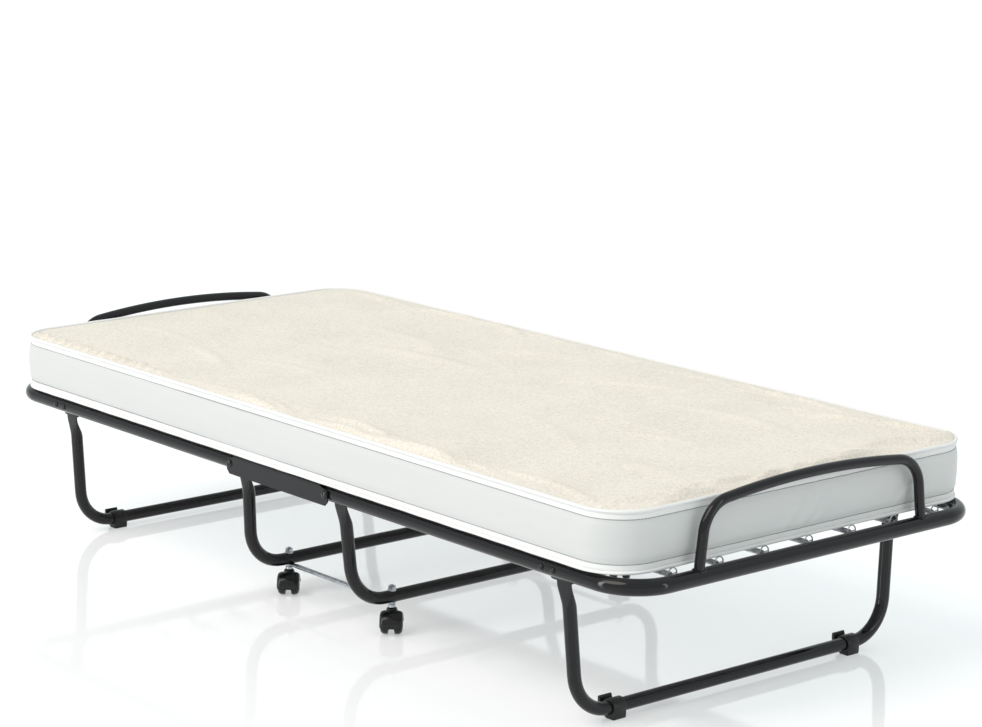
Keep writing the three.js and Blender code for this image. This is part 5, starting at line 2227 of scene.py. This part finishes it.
    def stitches(self, end: End) -> Draft:
        """The thread of both border seams on one half: separate stitches that dip into the cover.

        Args:
            end: which half.

        Returns:
            The stitches.
        """
        draft = Draft()
        for rise in self.seams():
            line = self.rim_line(end, rise, 0.0)
            for (one, away, _), (two, _, _) in zip(line, line[1:]):
                a, b = one.lerp(two, 0.05), one.lerp(two, 0.95)
                along = (b - a).normalized()
                rings = [ring_across(a.lerp(b, share) + away * lift, along, Vector((0, 0, 1)), self.thread,
                                     self.thread, 4)
                         for share, lift in ((0.0, -0.0004), (0.2, 0.0006), (0.8, 0.0006), (1.0, -0.0004))]
                draft.loft(rings)
        return draft

    def build(self) -> None:
        """Makes both halves of the mattress with their bindings and seams."""
        shell = self.shell()
        whole = bpy.data.meshes.new("whole_shell")
        whole.from_pydata([tuple(point) for point in shell[0]], [], shell[1])
        normals = np.array([tuple(vertex.normal) for vertex in whole.vertices])
        bpy.data.meshes.remove(whole)
        for end in End:
            piece = self.half(end, shell, normals)
            nodes = (f"mattress_{end.word}", "mattress_middle") if end is End.HEAD else (f"mattress_{end.word}",)
            self.soft_piece(piece, end, *nodes)
            binding = self.binding(end).build(f"mattress_{end.word}_binding", self.finishes.tape, 60)
            self.soft_piece(binding, end)
            seam = self.stitches(end).build(f"mattress_{end.word}_seams", self.finishes.thread, 60)
            self.soft_piece(seam, end)


# The studio.


@dataclass
class Studio:
    """The camera, the lights and the floor."""

    eye: tuple = (4.354397, -3.644964, 1.694968)
    right: tuple = (0.613664, 0.789567, 0.000960)
    upward: tuple = (-0.174007, 0.134055, 0.975577)
    back: tuple = (0.770154, -0.598845, 0.219655)
    lens: float = 106.385
    shift: tuple = (0.13789, 0.02186)
    key_from: tuple = (-0.08, -0.60, 0.80)
    key_power: float = 1.35
    key_spread: float = math.radians(38)
    key_tint: tuple = (1.0, 0.88, 0.79)
    aim: tuple = (0.2, 0.0, 0.2)
    softbox_height: float = 3.4
    air_tint: tuple = (0.93, 1.0, 1.0, 1.0)
    air_power: float = 0.84
    floor_reach: float = 60.0
    floor_spans: int = 24

    def camera(self) -> None:
        """Sets the camera."""
        data = bpy.data.cameras.new("studio_camera")
        data.lens = self.lens
        data.sensor_width = 36.0
        data.shift_x, data.shift_y = self.shift
        data.clip_end = 200.0
        camera = bpy.data.objects.new("studio_camera", data)
        turn = Matrix((self.right, self.upward, self.back)).transposed().to_4x4()
        camera.matrix_world = Matrix.Translation(self.eye) @ turn
        bpy.context.scene.collection.objects.link(camera)
        bpy.context.scene.camera = camera

    def key_light(self) -> None:
        """Hangs one very soft key light over the head end's near side."""
        data = bpy.data.lights.new("soft_key", "SUN")
        data.energy, data.angle, data.color = self.key_power, self.key_spread, self.key_tint
        light = bpy.data.objects.new("soft_key", data)
        light.rotation_euler = Vector(self.key_from).to_track_quat("Z", "Y").to_euler()
        bpy.context.scene.collection.objects.link(light)

    def softbox(self, name: str, place: tuple, width: float, power: float) -> None:
        """Stands a tall softbox, for the highlights along the tubes.

        Args:
            name: its name.
            place: where it stands.
            width: its width.
            power: its power in watts.
        """
        data = bpy.data.lights.new(name, "AREA")
        data.shape, data.size, data.size_y, data.energy = "RECTANGLE", width, self.softbox_height, power
        light = bpy.data.objects.new(name, data)
        light.location = place
        light.rotation_euler = (Vector(self.aim) - light.location).to_track_quat("-Z", "Y").to_euler()
        bpy.context.scene.collection.objects.link(light)

    def floor(self) -> None:
        """Lays a wide, polished floor."""
        reach, spans = self.floor_reach, self.floor_spans
        draft = Draft()
        points = [Vector((reach * (2 * i / spans - 1), reach * (2 * j / spans - 1), 0.0))
                  for i in range(spans + 1) for j in range(spans + 1)]
        faces = [(i * (spans + 1) + j, (i + 1) * (spans + 1) + j, (i + 1) * (spans + 1) + j + 1,
                  i * (spans + 1) + j + 1) for i in range(spans) for j in range(spans)]
        draft.add(points, faces)
        draft.build("studio_floor", StudioFloor().make())

    def build(self) -> None:
        """Sets up everything."""
        self.camera()
        self.floor()
        self.key_light()
        self.softbox("near_softbox", (-0.9, -5.0, 1.8), 0.8, 78.0)
        self.softbox("foot_softbox", (5.4, 1.6, 1.8), 0.5, 22.0)
        world = bpy.data.worlds.new("studio_air")
        world.use_nodes = True
        back = world.node_tree.nodes["Background"]
        back.inputs["Color"].default_value = self.air_tint
        back.inputs["Strength"].default_value = self.air_power
        bpy.context.scene.world = world
        bpy.context.scene.view_settings.view_transform = "Standard"


def main() -> None:
    """Builds the bed and its studio."""
    logging.basicConfig(level=logging.INFO, format="%(message)s")
    finishes = Finishes()
    places = Places()
    Studio().build()
    Rails(places, finishes).build()
    HingeChannels(places, finishes).build()
    Legs(places, finishes).build()
    LegBrackets(places, finishes).build()
    GuardHoops(places, finishes).build()
    Decks(places, finishes).build()
    Casters(places, finishes).build()
    FootClips(places, finishes).build()
    Mattress(places, finishes).build()


if __name__ == "__main__":
    main()
